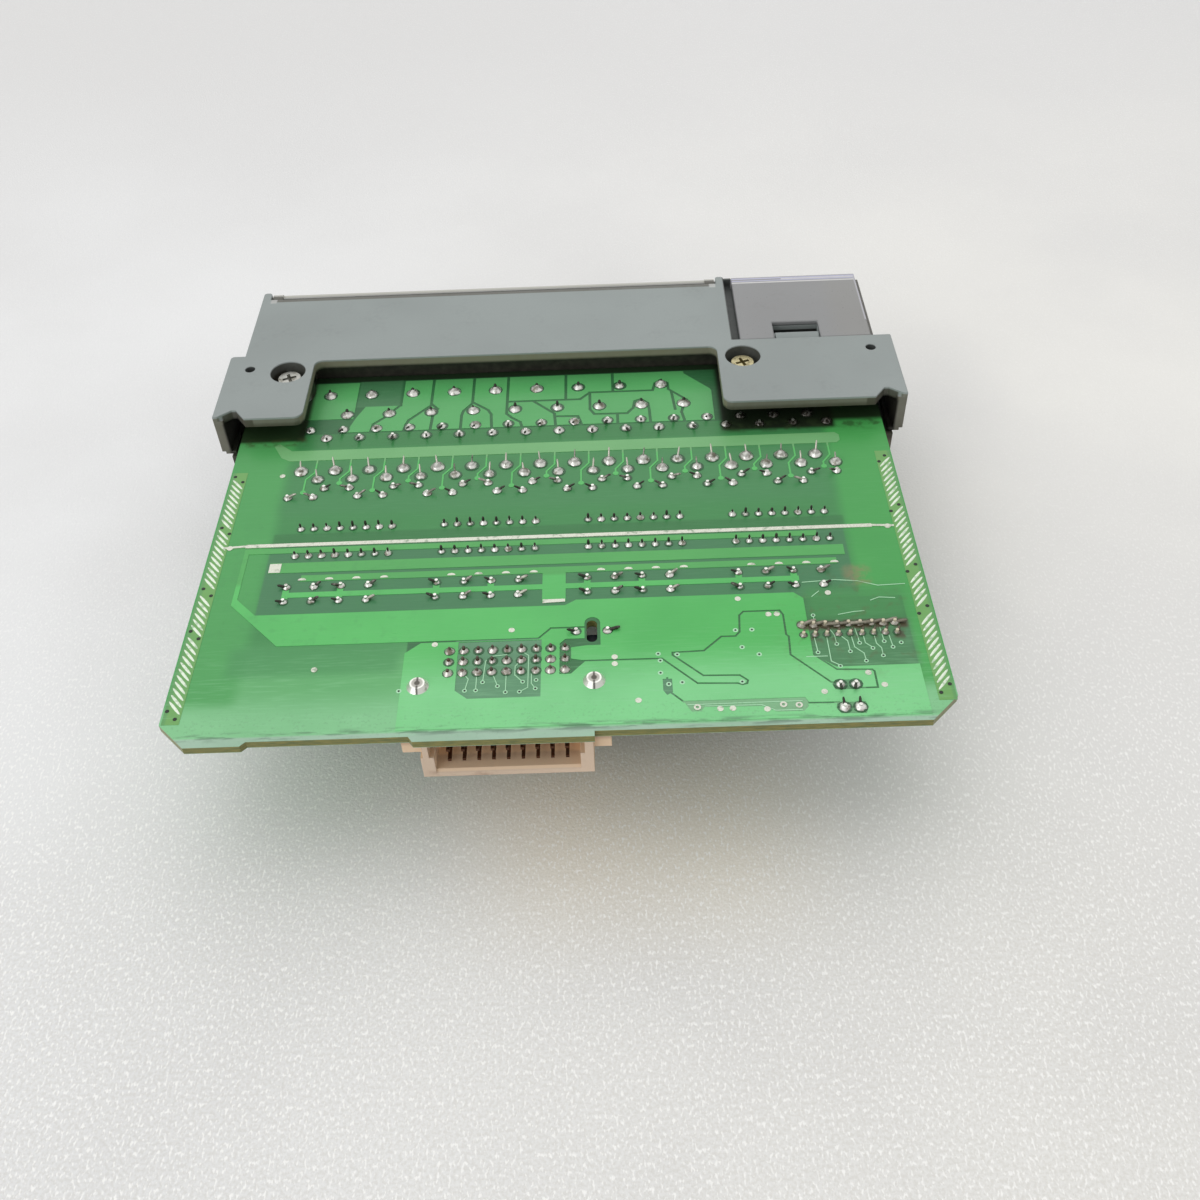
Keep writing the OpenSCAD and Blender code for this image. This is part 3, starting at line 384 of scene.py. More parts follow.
CLOUDING = Cloud(0.03, 3.0, 0.3, 0.7)
SPARKED = Cloud(2.2, 3.0, 0.35, 0.75)
GRIME = Cloud(0.16, 5.0, 0.5, 0.78)
GRIME_GAPS = Cloud(0.9, 3.0, 0.35, 0.7)
FRAYING = Cloud(0.6, 4.0)
PLATING = Cloud(6.0, 3.0)
SCUFFS = Cloud(0.5, 6.0, 0.5, 0.75, (0.3, 2.0, 1.0))
POLISH = Cloud(3.0, 2.0)
TINT = Cloud(0.06, 4.0, 0.35, 0.7)
WEAVE = Cloud(1.0, 3.0, 0.45, 0.8, (0.22, 2.6, 1.0))
SPECKS = Cloud(1.7, 5.0, 0.64, 0.8)
DROPLETS = Cloud(2.4, 2.0)
DUST = Cloud(1.9, 5.0, 0.54, 0.7)
STREAKS = Cloud(0.8, 4.0, 0.47, 0.62, (0.2, 1.2, 1.0))
LAMINATE = Cloud(1.2, 3.0, 0.3, 0.7, (0.4, 0.4, 8.0))
WRINKLES = Cloud(1.9, 4.0)
OXIDE = Cloud(1.6, 4.0)
DRAWN = Cloud(5.0, 3.0)


# Finishes


@dataclass(frozen=True)
class Moulding:
    """A moulded plastic with a fine spark-eroded surface, softened edges and handling dirt, and
    marks that are mostly painted shade and highlights.
    """

    name: str
    colour: Colour
    roughness: float = 0.52
    grain: float = 0.012
    dirt: float = 0.3
    soil: Colour = (0.12, 0.105, 0.08)
    edge: float = 0.25
    specular: float = 0.4
    marks: tuple[Mark, ...] = ()
    tones: Span = (0.94, 1.05)
    speckle: float = 0.14
    fraying: float = 0.28
    grime_roughness: float = 0.15

    def build(self) -> bpy.types.Material:
        """Writes the material."""
        f = Finish(self.name)
        fine = f.noise(SPARKED)
        grime = f.cloud(GRIME) * f.cloud(GRIME_GAPS)
        deep, pale = (tuple(min(1.0, c * tone) for c in self.colour) for tone in self.tones)
        tone = f.mix(f.cloud(CLOUDING), deep, pale)
        tone = f.mix(f.cloud(SPARKED) * self.speckle, tone, deep)
        tone = f.mix(grime * self.dirt, tone, self.soil)
        corner = f.node(
            "ShaderNodeBevel", {"samples": BEVEL_SAMPLES}, {"Radius": self.edge * MM}
        )
        return f.surface(
            # marks: mostly painted shade, highlights and reflections, their strength frayed by
            # noise
            Base_Color=f.marked(tone, self.marks, f.noise(FRAYING).swing(self.fraying) + 1.0),
            Roughness=self.roughness + fine.swing(self.speckle) + grime * self.grime_roughness,
            Specular_IOR_Level=self.specular,
            Normal=f.bump(fine, self.grain, corner),
        )


@dataclass(frozen=True)
class Metal:
    """A plated or bare metal that has dulled unevenly."""

    name: str
    colour: Colour
    dull: Colour
    roughness: float = 0.3
    share: float = 0.5
    marks: tuple[Mark, ...] = ()
    patch: float = 0.7
    metallic: float = 0.9
    grain: float = 0.01
    onset: Span = (0.68, 1.0)
    reach: float = 0.35
    dulling: float = 0.45
    roughening: float = 0.28
    uneven: float = 0.1

    def build(self) -> bpy.types.Material:
        """Writes the material."""
        f = Finish(self.name)
        low, high = (level - self.reach * self.share for level in self.onset)
        stain = f.cloud(Cloud(self.patch, 3.0, low, high))
        fine = f.noise(PLATING)
        return f.surface(
            Base_Color=f.marked(f.mix(stain, self.colour, self.dull), self.marks),
            Metallic=self.metallic - stain * self.dulling,
            Roughness=self.roughness + stain * self.roughening + fine.swing(self.uneven),
            Normal=f.bump(fine, self.grain),
        )


@dataclass(frozen=True)
class ClearPlastic:
    """A clear or smoked plastic that shows what lies behind it, with edges painted in a solid
    colour.
    """

    name: str
    colour: Colour
    clearness: float
    roughness: float = 0.12
    edges: tuple[Zone, ...] = ()
    index: float = 1.49
    grain: float = 0.004
    coat: Span = (0.25, 0.1)
    haze: Span = (1.25, 0.05)
    haze_share: float = 0.35
    edge_roughness: float = 0.3
    roughening: float = 0.2

    def build(self) -> bpy.types.Material:
        """Writes the material."""
        f = Finish(self.name)
        scuff = f.cloud(SCUFFS)
        normal = f.bump(f.noise(POLISH), self.grain)
        gain, lift = self.haze
        coat, scuffed_coat = self.coat
        haze = tuple(min(1.0, c * gain + lift) for c in self.colour)
        clear = f.shader(
            Base_Color=f.mix(scuff * self.haze_share, self.colour, haze),
            Roughness=self.roughness + scuff * self.roughening,
            Transmission_Weight=self.clearness,
            IOR=self.index,
            Coat_Weight=coat + scuff * scuffed_coat,
            Normal=normal,
        )
        solid: Any = 0.0
        for zone in self.edges:
            solid = zone.on(f).most(solid)
        tone = f.marked(self.colour, self.edges)
        roughness = self.edge_roughness + scuff * self.roughening
        dense = f.shader(Base_Color=tone, Roughness=roughness, Normal=normal)
        return f.end(f.node("ShaderNodeMixShader", {}, {0: solid, 1: clear, 2: dense}))


@dataclass(frozen=True)
class Lacquer:
    """A solder mask, over bare laminate or over copper.

    Its patches are partly the far side's copper showing as deeper or lighter, and partly painted
    shade and a painted sheen.
    """

    name: str
    colour: Colour
    marks: tuple[Patch, ...] = ()
    ripple: float = 0.012
    roughness: float = 0.34
    edge_colour: Colour | None = None
    edge_core: Colour = (0.1, 0.13, 0.05)
    edge_clear: float = 0.06
    tint: Colour = (0.04, 0.24, 0.07)
    thread: Colour = (0.3, 0.66, 0.36)
    speck: Colour = (0.1, 0.15, 0.07)
    tint_share: float = 0.14
    thread_share: Span = (0.04, 0.2)
    # rear: the band towards the backplane end where the threads are painted stronger, a painted
    # reflection
    rear: Span = (-60.0, -34.0)
    specular: float = 0.3
    roughening: float = 0.25
    uneven: float = 0.1
    relief: Span = (0.75, 0.25)

    def build(self) -> bpy.types.Material:
        """Writes the material."""
        f = Finish(self.name)
        weave, speck = f.noise(WEAVE), f.cloud(SPECKS)
        rear = f.patch(PAST_BOARD, self.rear, 8.0)
        all_over, at_rear = self.thread_share
        threads, droplets = self.relief
        tone = f.marked(self.colour, self.marks)
        for share, colour in (
            (f.cloud(TINT) * self.tint_share, self.tint),
            # the threads show stronger towards the rear as a painted reflection
            (f.cloud(WEAVE) * (all_over + rear * at_rear), self.thread),
            (speck * self.tint_share, self.speck),
        ):
            tone = f.mix(share, tone, colour)
        tone = f.marked(tone, STAINS_AND_SHADOWS)
        if self.edge_colour is not None:
            half = DATUM.board / 2
            level = (f.z - (DATUM.face - half)) * (1.0 / (half - self.edge_clear))
            edge = f.mix(f.cloud(LAMINATE), self.edge_colour, self.edge_core)
            tone = f.mix(abs(level).ease(1.0, 0.96), tone, edge)
        return f.surface(
            Base_Color=tone,
            Roughness=self.roughness + speck * self.roughening + weave.swing(self.uneven),
            Specular_IOR_Level=self.specular,
            Normal=f.bump(weave * threads + f.noise(DROPLETS) * droplets, self.ripple),
        )


@dataclass(frozen=True)
class Tin:
    """Solder on a pad: bright, wrinkled and dulled by oxide in patches, with painted shade at the
    foot and crown of drawn-up joints.
    """

    name: str
    colour: Colour = (0.7, 0.7, 0.665)
    dull: Colour = (0.24, 0.22, 0.17)
    share: float = 0.55
    metallic: float = 0.5
    drawn_up: bool = False
    shadow: Colour = (0.09, 0.095, 0.07)
    shadow_share: float = 0.5
    foot: Span = (0.24, 0.06)
    crown: Span = (0.5, 0.8)
    onset: Span = (0.66, 0.86)
    reach: float = 0.3
    roughness: float = 0.27
    roughening: float = 0.3
    uneven: float = 0.2
    wrinkle: float = 0.06
    spoiling: float = 0.45

    def build(self) -> bpy.types.Material:
        """Writes the material."""
        f = Finish(self.name)
        low, high = (level - self.reach * self.share for level in self.onset)
        stain = f.cloud(Cloud(0.8, 5.0, low, high))
        fine = f.noise(WRINKLES)
        tone = f.mix(stain, self.colour, self.dull)
        if self.drawn_up:
            foot, crown = (
                f.z.ease(*(DATUM.face + level for level in levels))
                for levels in (self.foot, self.crown)
            )
            tone = f.mix(foot.most(crown) * self.shadow_share, tone, self.shadow)
        return f.surface(
            Base_Color=f.marked(tone, SPOILED_AND_SHADOWED, fine + self.spoiling),
            Metallic=self.metallic - stain * self.reach,
            Roughness=self.roughness + stain * self.roughening + fine.swing(self.uneven),
            Normal=f.bump(fine, self.wrinkle),
        )


@dataclass(frozen=True)
class ClippedLead:
    """A component lead, painted darker or brighter by the piece's own shine attribute, as painted
    shade and reflection.
    """

    name: str
    dark: Colour = (0.024, 0.026, 0.017)
    bright: Colour = (0.56, 0.55, 0.48)
    mottle: float = 0.7
    onset: Span = (0.3, 0.8)
    metallic: Span = (0.35, 0.4)
    roughness: Span = (0.42, 0.12)
    uneven: float = 0.2
    grain: float = 0.02

    def build(self) -> bpy.types.Material:
        """Writes the material."""
        f = Finish(self.name)
        shine = f.node("ShaderNodeAttribute", {"attribute_name": "shine"}, {}, "Fac")
        patchy = f.noise(OXIDE)
        share = (shine + patchy.swing(self.mottle)).ease(*self.onset)
        metal, gain = self.metallic
        rough, drop = self.roughness
        return f.surface(
            Base_Color=f.marked(f.mix(share, self.dark, self.bright), SPOILED_AND_SHADOWED),
            Metallic=metal + share * gain,
            Roughness=rough - share * drop + patchy.swing(self.uneven),
            Normal=f.bump(f.noise(DRAWN), self.grain),
        )


# Colours and marks of the pieces

PAST_BOARD = (-30.0, 130.0)

# Solder that has gone brown, and painted shadow on the joints under the cover's lobes
SPOILED_AND_SHADOWED = (
    # painted shadow on the joints under the right and left lobes
    Patch((84.6, 120.0), (25.8, 60.0), 0.6, (0.022, 0.018, 0.012), 0.98),
    Patch((-20.0, -3.0), (27.2, 60.0), 0.6, (0.04, 0.036, 0.025), 0.85),
    Patch((92.6, 112.5), (-31.3, -28.6), 0.6, (0.24, 0.215, 0.165), 0.7),
    Patch((92.6, 112.5), (-34.0, -31.3), 0.6, (0.16, 0.13, 0.095), 0.7),
    Patch((30.0, 53.0), (-40.0, -32.0), 0.6, (0.26, 0.19, 0.15), 0.35),
)

GREEN = {
    "mid": (0.052, 0.25, 0.076),
    "lane": (0.06, 0.245, 0.088),
    "left": (0.08, 0.362, 0.103),
    "right": (0.068, 0.375, 0.088),
    "deep": (0.032, 0.15, 0.05),
    "pour": (0.107, 0.52, 0.138),
    "pour_right": (0.085, 0.478, 0.113),
    # rear: lighter towards the backplane end, a painted sheen
    "rear": (0.24, 0.68, 0.3),
    "band": (0.185, 0.44, 0.185),
    "bus": (0.093, 0.39, 0.106),
    "upper": (0.1, 0.41, 0.131),
}

# Dirt and corrosion on the board, and painted shadow under the cover's lobes and its far wall
STAINS_AND_SHADOWS = (
    # painted shadow under the right lobe, the left lobe and the cover's far wall
    Patch((84.0, 107.5), (26.2, 70.0), 0.7, (0.011, 0.013, 0.008), 0.97, blotch(0.0, 0.32)),
    Patch((105.0, 120.0), (28.6, 70.0), 0.9, (0.013, 0.018, 0.009), 0.95, blotch(0.0, 0.34)),
    Patch((84.0, 118.0), (25.6, 29.0), 1.0, (0.03, 0.05, 0.02), 0.6, blotch(0.42, 0.62)),
    Patch((-20.0, -3.4), (27.6, 70.0), 0.6, (0.014, 0.016, 0.008), 0.92, blotch(0.0, 0.34)),
    Patch((-20.0, -3.0), (26.2, 28.6), 0.7, (0.05, 0.07, 0.025), 0.6, blotch(0.4, 0.6)),
    Patch((-6.0, 86.0), (47.9, 70.0), 0.3, (0.012, 0.022, 0.01), 0.94, blotch(0.0, 0.34)),
    Patch((88.0, 130.0), (56.0, 80.0), 0.5, (0.085, 0.09, 0.088), 1.0, blotch(0.0, 0.3)),
    Patch((91.0, 113.0), (-41.0, -17.0), 4.0, (0.1, 0.11, 0.045), 0.35, blotch(0.54, 0.72)),
    Patch((102.9, 107.4), (-20.0, -15.2), 1.1, (0.27, 0.225, 0.12), 0.6, blotch(0.36, 0.6)),
    Patch((92.8, 112.2), (-31.2, -29.0), 0.5, (0.075, 0.05, 0.03), 0.9, blotch(0.3, 0.5)),
    Patch((92.8, 111.5), (-33.6, -31.6), 0.5, (0.07, 0.05, 0.03), 0.75, blotch(0.45, 0.62)),
    Patch((-16.0, 24.0), (-36.0, 2.0), 6.0, (0.06, 0.24, 0.085), 0.15, blotch(0.52, 0.7)),
    Patch(PAST_BOARD, (-52.4, -46.0), 2.5, (0.13, 0.26, 0.15), 0.22, DUST),
    Patch(PAST_BOARD, (-51.8, -50.2), 0.5, (0.075, 0.13, 0.095), 0.6, STREAKS),
)

BARE_MASK = Lacquer(
    "bare_mask",
    GREEN["mid"],
    marks=(
        # painted sheen: the mask lighter towards the backplane end
        Patch((-20.0, 120.0), (-60.0, -33.0), 5.0, (0.15, 0.47, 0.18), 0.85),
        Patch((-20.0, 120.0), (-60.0, -44.0), 4.0, (0.25, 0.59, 0.3), 0.85),
        Patch((-20.0, -5.0), (-44.0, 40.0), 1.6, GREEN["left"], 0.9),
        Patch((105.0, 120.0), (-44.0, 40.0), 1.6, GREEN["right"], 0.9),
        Patch((-5.0, 104.0), (4.0, 20.5), 2.4, GREEN["lane"], 0.9),
        Patch((-5.0, 105.0), (-4.2, -1.2), 0.4, GREEN["deep"], 0.6),
        # painted shade along the edges of the cover's lobes
        Patch((-5.0, 105.0), (24.8, 29.5), 0.8, GREEN["deep"], 0.35),
        Patch((-5.0, 104.5), (-22.9, -5.0), 0.3, (0.06, 0.2, 0.095), 0.9),
        Patch((-8.0, 22.5), (-38.0, -31.0), 1.5, (0.07, 0.29, 0.1), 0.75),
        # painted shade: darker where it shows in the narrow gaps of the lower copper pour
        Patch((23.6, 112.3), (-50.6, -23.2), 0.2, (0.035, 0.14, 0.055), 0.92),
        Patch((32.2, 48.0), (-45.0, -30.9), 0.2, (0.125, 0.3, 0.17), 0.95),
        Patch((94.7, 112.6), (-40.4, -29.0), 1.0, (0.08, 0.235, 0.105), 0.9),
        Patch((94.7, 113.0), (-29.0, -20.5), 2.0, (0.06, 0.27, 0.08), 0.8),
        # painted shade: darker where it shows in the narrow gaps of the upper copper pours
        Patch((-4.8, 84.6), (29.6, 48.5), 0.3, (0.03, 0.13, 0.05), 0.9),
        Patch((6.2, 15.5), (38.6, 48.5), 0.3, (0.06, 0.2, 0.085), 0.95),
        Patch((71.4, 92.4), (-49.7, -46.3), 0.15, (0.22, 0.46, 0.25), 1.0),
        Patch((67.9, 70.2), (-45.2, -41.2), 0.15, (0.1, 0.25, 0.14), 1.0),
        Patch((96.7, 102.5), (-45.3, -42.7), 0.15, (0.12, 0.32, 0.15), 1.0),
        Patch((96.7, 102.5), (-50.5, -47.6), 0.15, (0.15, 0.37, 0.18), 1.0),
        Patch((-20.0, 120.0), (-53.5, -51.2), 0.3, (0.37, 0.52, 0.42), 0.9),
    ),
    edge_colour=(0.26, 0.23, 0.07),
)

COPPER_MASK = Lacquer(
    "copper_mask",
    GREEN["pour"],
    marks=(
        Patch((-20.0, 120.0), (20.0, 27.5), 0.5, GREEN["band"], 0.9),
        Patch((-20.0, 120.0), (29.0, 49.0), 0.5, GREEN["upper"], 0.95),
        Patch((62.0, 120.0), (-42.0, -20.0), 8.0, GREEN["pour_right"], 0.9),
        # painted sheen: lighter towards the backplane end
        Patch((20.0, 120.0), (-60.0, -38.0), 6.0, GREEN["rear"], 0.85),
        Patch((-12.0, 105.0), (-15.0, -5.0), 0.5, GREEN["bus"], 0.85),
    ),
    ripple=0.014,
    roughness=0.3,
)

HATCH_MASK = Lacquer(
    "hatch_mask",
    (0.165, 0.39, 0.115),
    marks=(
        Patch((-17.6, -15.9), (-60.0, 30.0), 0.25, (0.12, 0.33, 0.12), 0.8),
        Patch((116.7, 118.0), (-60.0, 30.0), 0.25, (0.12, 0.33, 0.12), 0.8),
    ),
    ripple=0.02,
)
THIN_MASK = Lacquer("thin_mask", (0.43, 0.75, 0.49), ripple=0.01)

# Painted shade and highlights on the housing: dark rear faces and undersides of the lobes, dark
# walls in the cut-out, near-black ears, grooves and screw wells, a dark chamfer before the door,
# and light ends of that chamfer as painted highlights. The end walls of the ears are partly rust
# and partly painted shade.
OLIVE = (0.13, 0.118, 0.08)
UMBER = (0.055, 0.05, 0.034)
SHADE_BLACK = (0.013, 0.012, 0.009)
HOUSING_MARKS = (
    Zone((-73.0, 73.0), (10.0, 17.95), (20.0, 34.1), OLIVE, 0.8),
    Zone((-73.0, 73.0), (10.0, 17.3), (20.0, 33.1), UMBER, 0.75, 0.5),
    Zone((-54.3, 35.1), (17.3, 40.6), (20.0, 34.15), (0.2, 0.185, 0.13), 0.92),
    Zone((-54.3, 35.1), (17.3, 40.6), (2.6, 32.7), SHADE_BLACK, 0.96, 0.4),
    Zone((63.6, 70.3), (16.0, 26.0), (20.0, 34.1), UMBER, 0.9, 0.2),
    Zone((-70.3, -63.6), (16.0, 26.0), (20.0, 34.1), UMBER, 0.9, 0.2),
    Zone((60.0, 70.4), (17.4, 39.6), (24.0, 32.6), SHADE_BLACK, 0.95, 0.3),
    Zone((-70.4, -60.0), (17.4, 39.6), (22.0, 32.6), SHADE_BLACK, 0.95, 0.3),
    Zone((64.5, 70.3), (10.0, 30.0), (3.4, 23.0), (0.2, 0.17, 0.125), 0.85, 1.0),
    Zone((-70.3, -64.5), (10.0, 30.0), (3.4, 26.0), (0.035, 0.04, 0.028), 0.9, 1.0),
    Zone((37.5, 39.6), (38.95, 66.0), (20.0, 34.6), (0.055, 0.06, 0.058), 0.9, 0.12),
    Zone((68.05, 70.0), (39.3, 66.0), (20.0, 34.6), (0.1, 0.092, 0.078), 0.85, 0.1),
    Zone((-66.9, 35.5), (60.62, 64.0), (20.0, 34.6), (0.13, 0.128, 0.112), 0.9, 0.08),
    Zone((34.3, 35.7), (60.2, 62.2), (33.0, 34.6), (0.52, 0.53, 0.52), 0.9, 0.2),
    Zone((-67.0, -65.6), (60.2, 62.2), (33.0, 34.6), (0.5, 0.51, 0.5), 0.9, 0.2),
    Well(-58.65, 32.85, 3.95, (0.03, 0.028, 0.018), 0.85),
    Well(39.45, 32.85, 3.95, (0.03, 0.028, 0.018), 0.85),
    Well(-67.1, 34.3, 1.2, (0.025, 0.026, 0.024), 0.9, 34.35),
    Well(67.1, 34.3, 1.2, (0.025, 0.026, 0.024), 0.9, 34.35),
)
WHOLE = (-80.0, 80.0)
# On the window: light and lilac bands across its top by the front edge with dark lines between
# them, painted reflections, and a painted highlight along one end.
WINDOW_MARKS = (
    Zone((60.5, 70.0), (38.0, 62.0), (34.0, 35.0), (0.25, 0.24, 0.215), 0.7, 2.5),
    Zone(WHOLE, (63.55, 64.5), (34.0, 35.0), (0.13, 0.13, 0.14), 0.85, 0.06),
    Zone(WHOLE, (62.9, 63.5), (34.0, 35.0), (0.46, 0.46, 0.6), 0.95, 0.06),
    Zone((51.0, 68.2), (62.55, 62.9), (34.0, 35.0), (0.62, 0.62, 0.64), 0.95, 0.08),
    Zone(WHOLE, (62.0, 62.5), (34.0, 35.0), (0.44, 0.44, 0.57), 0.95, 0.06),
    Zone(WHOLE, (61.82, 61.98), (34.0, 35.0), (0.16, 0.16, 0.17), 0.8, 0.05),
    Zone(WHOLE, (61.3, 61.8), (34.0, 35.0), (0.6, 0.6, 0.6), 0.95, 0.06),
    Zone((67.55, 68.2), (45.0, 62.9), (34.0, 35.0), (0.45, 0.45, 0.5), 0.9, 0.08),
    Zone((41.6, 65.9), (63.6, 66.0), (3.6, 30.9), (0.04, 0.038, 0.042), 0.88, 0.3),
    *(
        Zone((x - 1.4, x + 1.4), (63.6, 66.0), (z - 1.4, z + 1.4), (0.2, 0.03, 0.024), 0.7, 0.5)
        for x in (45.35, 50.95, 56.55, 62.15)
        for z in (8.85, 14.45, 20.05, 25.65)
    ),
)
# Inside the connector: tan painted lighter as painted light, against the shade of its cavity; a
# reddish-brown stain along its top.
CONNECTOR_MARKS = (
    Zone(WHOLE, (-62.9, 40.0), (16.0, 26.6), (0.74, 0.55, 0.38), 0.9, 0.1),
    Zone(WHOLE, (-59.5, 40.0), (16.0, 26.6), (0.98, 0.72, 0.48), 0.95, 0.4),
    Zone(WHOLE, (-62.6, 40.0), (24.0, 26.6), (0.2, 0.075, 0.04), 0.4, 0.6),
)
# Painted shade on the board locks: a darker ring and a near-black middle in each one's hollow, and
# dark slits.
LOCKS_X = (-24.05, 6.27)
SLIT_SHADE = (0.04, 0.036, 0.03)
LOCK_MARKS = (
    *(
        Well(x, -52.8, radius, colour, 0.85, 31.0)
        for x in LOCKS_X
        for radius, colour in ((1.0, (0.3, 0.29, 0.26)), (0.5, (0.05, 0.045, 0.035)))
    ),
    *(
        Zone((x - 0.18, x + 0.18), (y - 0.8, y + 0.8), (28.6, 31.0), SLIT_SHADE, 0.85, 0.14)
        for x in LOCKS_X
        for y in (-54.2, -51.6)
    ),
)
# On the door: the rear face painted dark as shade, and the top edge painted pale as light falling
# on it.
DOOR_EDGES = (
    Zone(WHOLE, (60.0, 63.52), (31.5, 35.0), (0.15, 0.148, 0.13), 1.0, 0.08),
    Zone(WHOLE, (63.52, 66.0), (33.0, 35.0), (0.5, 0.5, 0.46), 1.0, 0.08),
)

SLOT_FINISHES: dict[str, Any] = {
    finish.name: finish
    for finish in (
        Moulding("housing_grey", (0.28, 0.315, 0.312), dirt=0.08, marks=HOUSING_MARKS),
        ClearPlastic("clear_smoke", (0.62, 0.64, 0.66), 0.85, 0.08, DOOR_EDGES),
        Moulding(
            "window_smoke", (0.247, 0.252, 0.258), 0.3, 0.004, 0.12, edge=0.2, marks=WINDOW_MARKS
        ),
        Moulding("card_white", (0.74, 0.73, 0.69), 0.6, 0.004, 0.15, edge=0.05),
        Moulding("block_dark", (0.032, 0.034, 0.036), 0.45, 0.01, 0.2, edge=0.15),
        Metal("screw_zinc", (0.43, 0.43, 0.4), (0.15, 0.14, 0.1), 0.33, 0.6),
        Metal("screw_yellow", (0.47, 0.42, 0.25), (0.17, 0.14, 0.07), 0.34, 0.6),
        Metal("contact_brass", (0.7, 0.52, 0.22), (0.3, 0.2, 0.09), 0.32, 0.35),
        # contacts far darker than bronze: tarnish, and painted shade under the board
        Metal("contact_bronze", (0.1, 0.042, 0.022), (0.04, 0.018, 0.01), 0.5, 0.6),
        Moulding(
            "connector_tan", (0.64, 0.5, 0.385), 0.55, 0.012, 0.75, (0.24, 0.12, 0.07), 0.15,
            marks=CONNECTOR_MARKS,
        ),
        Moulding("header_cream", (0.62, 0.56, 0.42), 0.5, 0.008, 0.2, edge=0.1),
        Moulding("ribbon_grey", (0.32, 0.33, 0.34), 0.5, 0.01, 0.2, edge=0.1),
        Moulding("lamp_red", (0.5, 0.02, 0.015), 0.2, 0.002, 0.05, edge=0.1),
        Moulding("chip_black", (0.02, 0.021, 0.023), 0.5, 0.01, 0.15, edge=0.1),
        Moulding("resistor_buff", (0.5, 0.36, 0.2), 0.35, 0.006, 0.15, edge=0.1),
        Moulding("film_red", (0.38, 0.06, 0.03), 0.3, 0.006, 0.15, edge=0.1),
        Moulding("disc_blue", (0.008, 0.012, 0.02), 0.5, 0.008, 0.15, edge=0.1),
        Metal("lead_tin", (0.72, 0.72, 0.68), (0.25, 0.24, 0.19), 0.3, 0.4, LOCK_MARKS),
        Tin("solder_grey", (0.8, 0.8, 0.77), metallic=0.7, drawn_up=True),
    )
}
SLOT_FINISHES["board_green"] = BARE_MASK


# Meshes


def mesh_of(name: str, points: Iterable[Vector], faces: Iterable[Sequence[int]]) -> bpy.types.Mesh:
    """Makes a mesh of points in metres and faces of point numbers."""
    mesh = bpy.data.meshes.new(name)
    mesh.from_pydata([tuple(p) for p in points], [], [tuple(face) for face in faces])
    mesh.update()
    return mesh


def piece(
    name: str,
    mesh: bpy.types.Mesh,
    finish: bpy.types.Material,
    stands_for: Sequence[str] = (),
    body: str = BODY,
) -> bpy.types.Object:
    """Puts a finished mesh in the scene.

    Args:
        name: the piece's name.
        mesh: its mesh, in the part's frame.
        finish: its material.
        stands_for: the solid pieces that it is shown in place of.
        body: the body that carries it.

    Returns:
        The new object.
    """
    made = bpy.data.objects.new(name, mesh)
    bpy.context.scene.collection.objects.link(made)
    mesh.materials.clear()
    mesh.materials.append(finish)
    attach(made, body)
    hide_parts(*stands_for)
    log.info("%s: %d faces", name, len(mesh.polygons))
    return made


def baked(
    points: bpy.types.Mesh, tree: bpy.types.NodeTree, inputs: dict[str, Any], smooth: bool = False
) -> bpy.types.Mesh:
    """Runs a geometry tree on a mesh.

    Args:
        points: the mesh that the tree starts from.
        tree: the geometry node tree.
        inputs: values for its inputs, by name.
        smooth: whether every face is shaded smooth.

    Returns:
        The result as a plain mesh.
    """
    holder = bpy.data.objects.new(points.name, points)
    bpy.context.scene.collection.objects.link(holder)
    modifier = holder.modifiers.new("rule", "NODES")
    modifier.node_group = tree
    for item in tree.interface.items_tree:
        if item.item_type == "SOCKET" and item.in_out == "INPUT" and item.name in inputs:
            modifier[item.identifier] = inputs[item.name]
    graph = bpy.context.evaluated_depsgraph_get()
    result = bpy.data.meshes.new_from_object(holder.evaluated_get(graph))
    bpy.data.objects.remove(holder)
    if smooth:
        for polygon in result.polygons:
            polygon.use_smooth = True
    return result


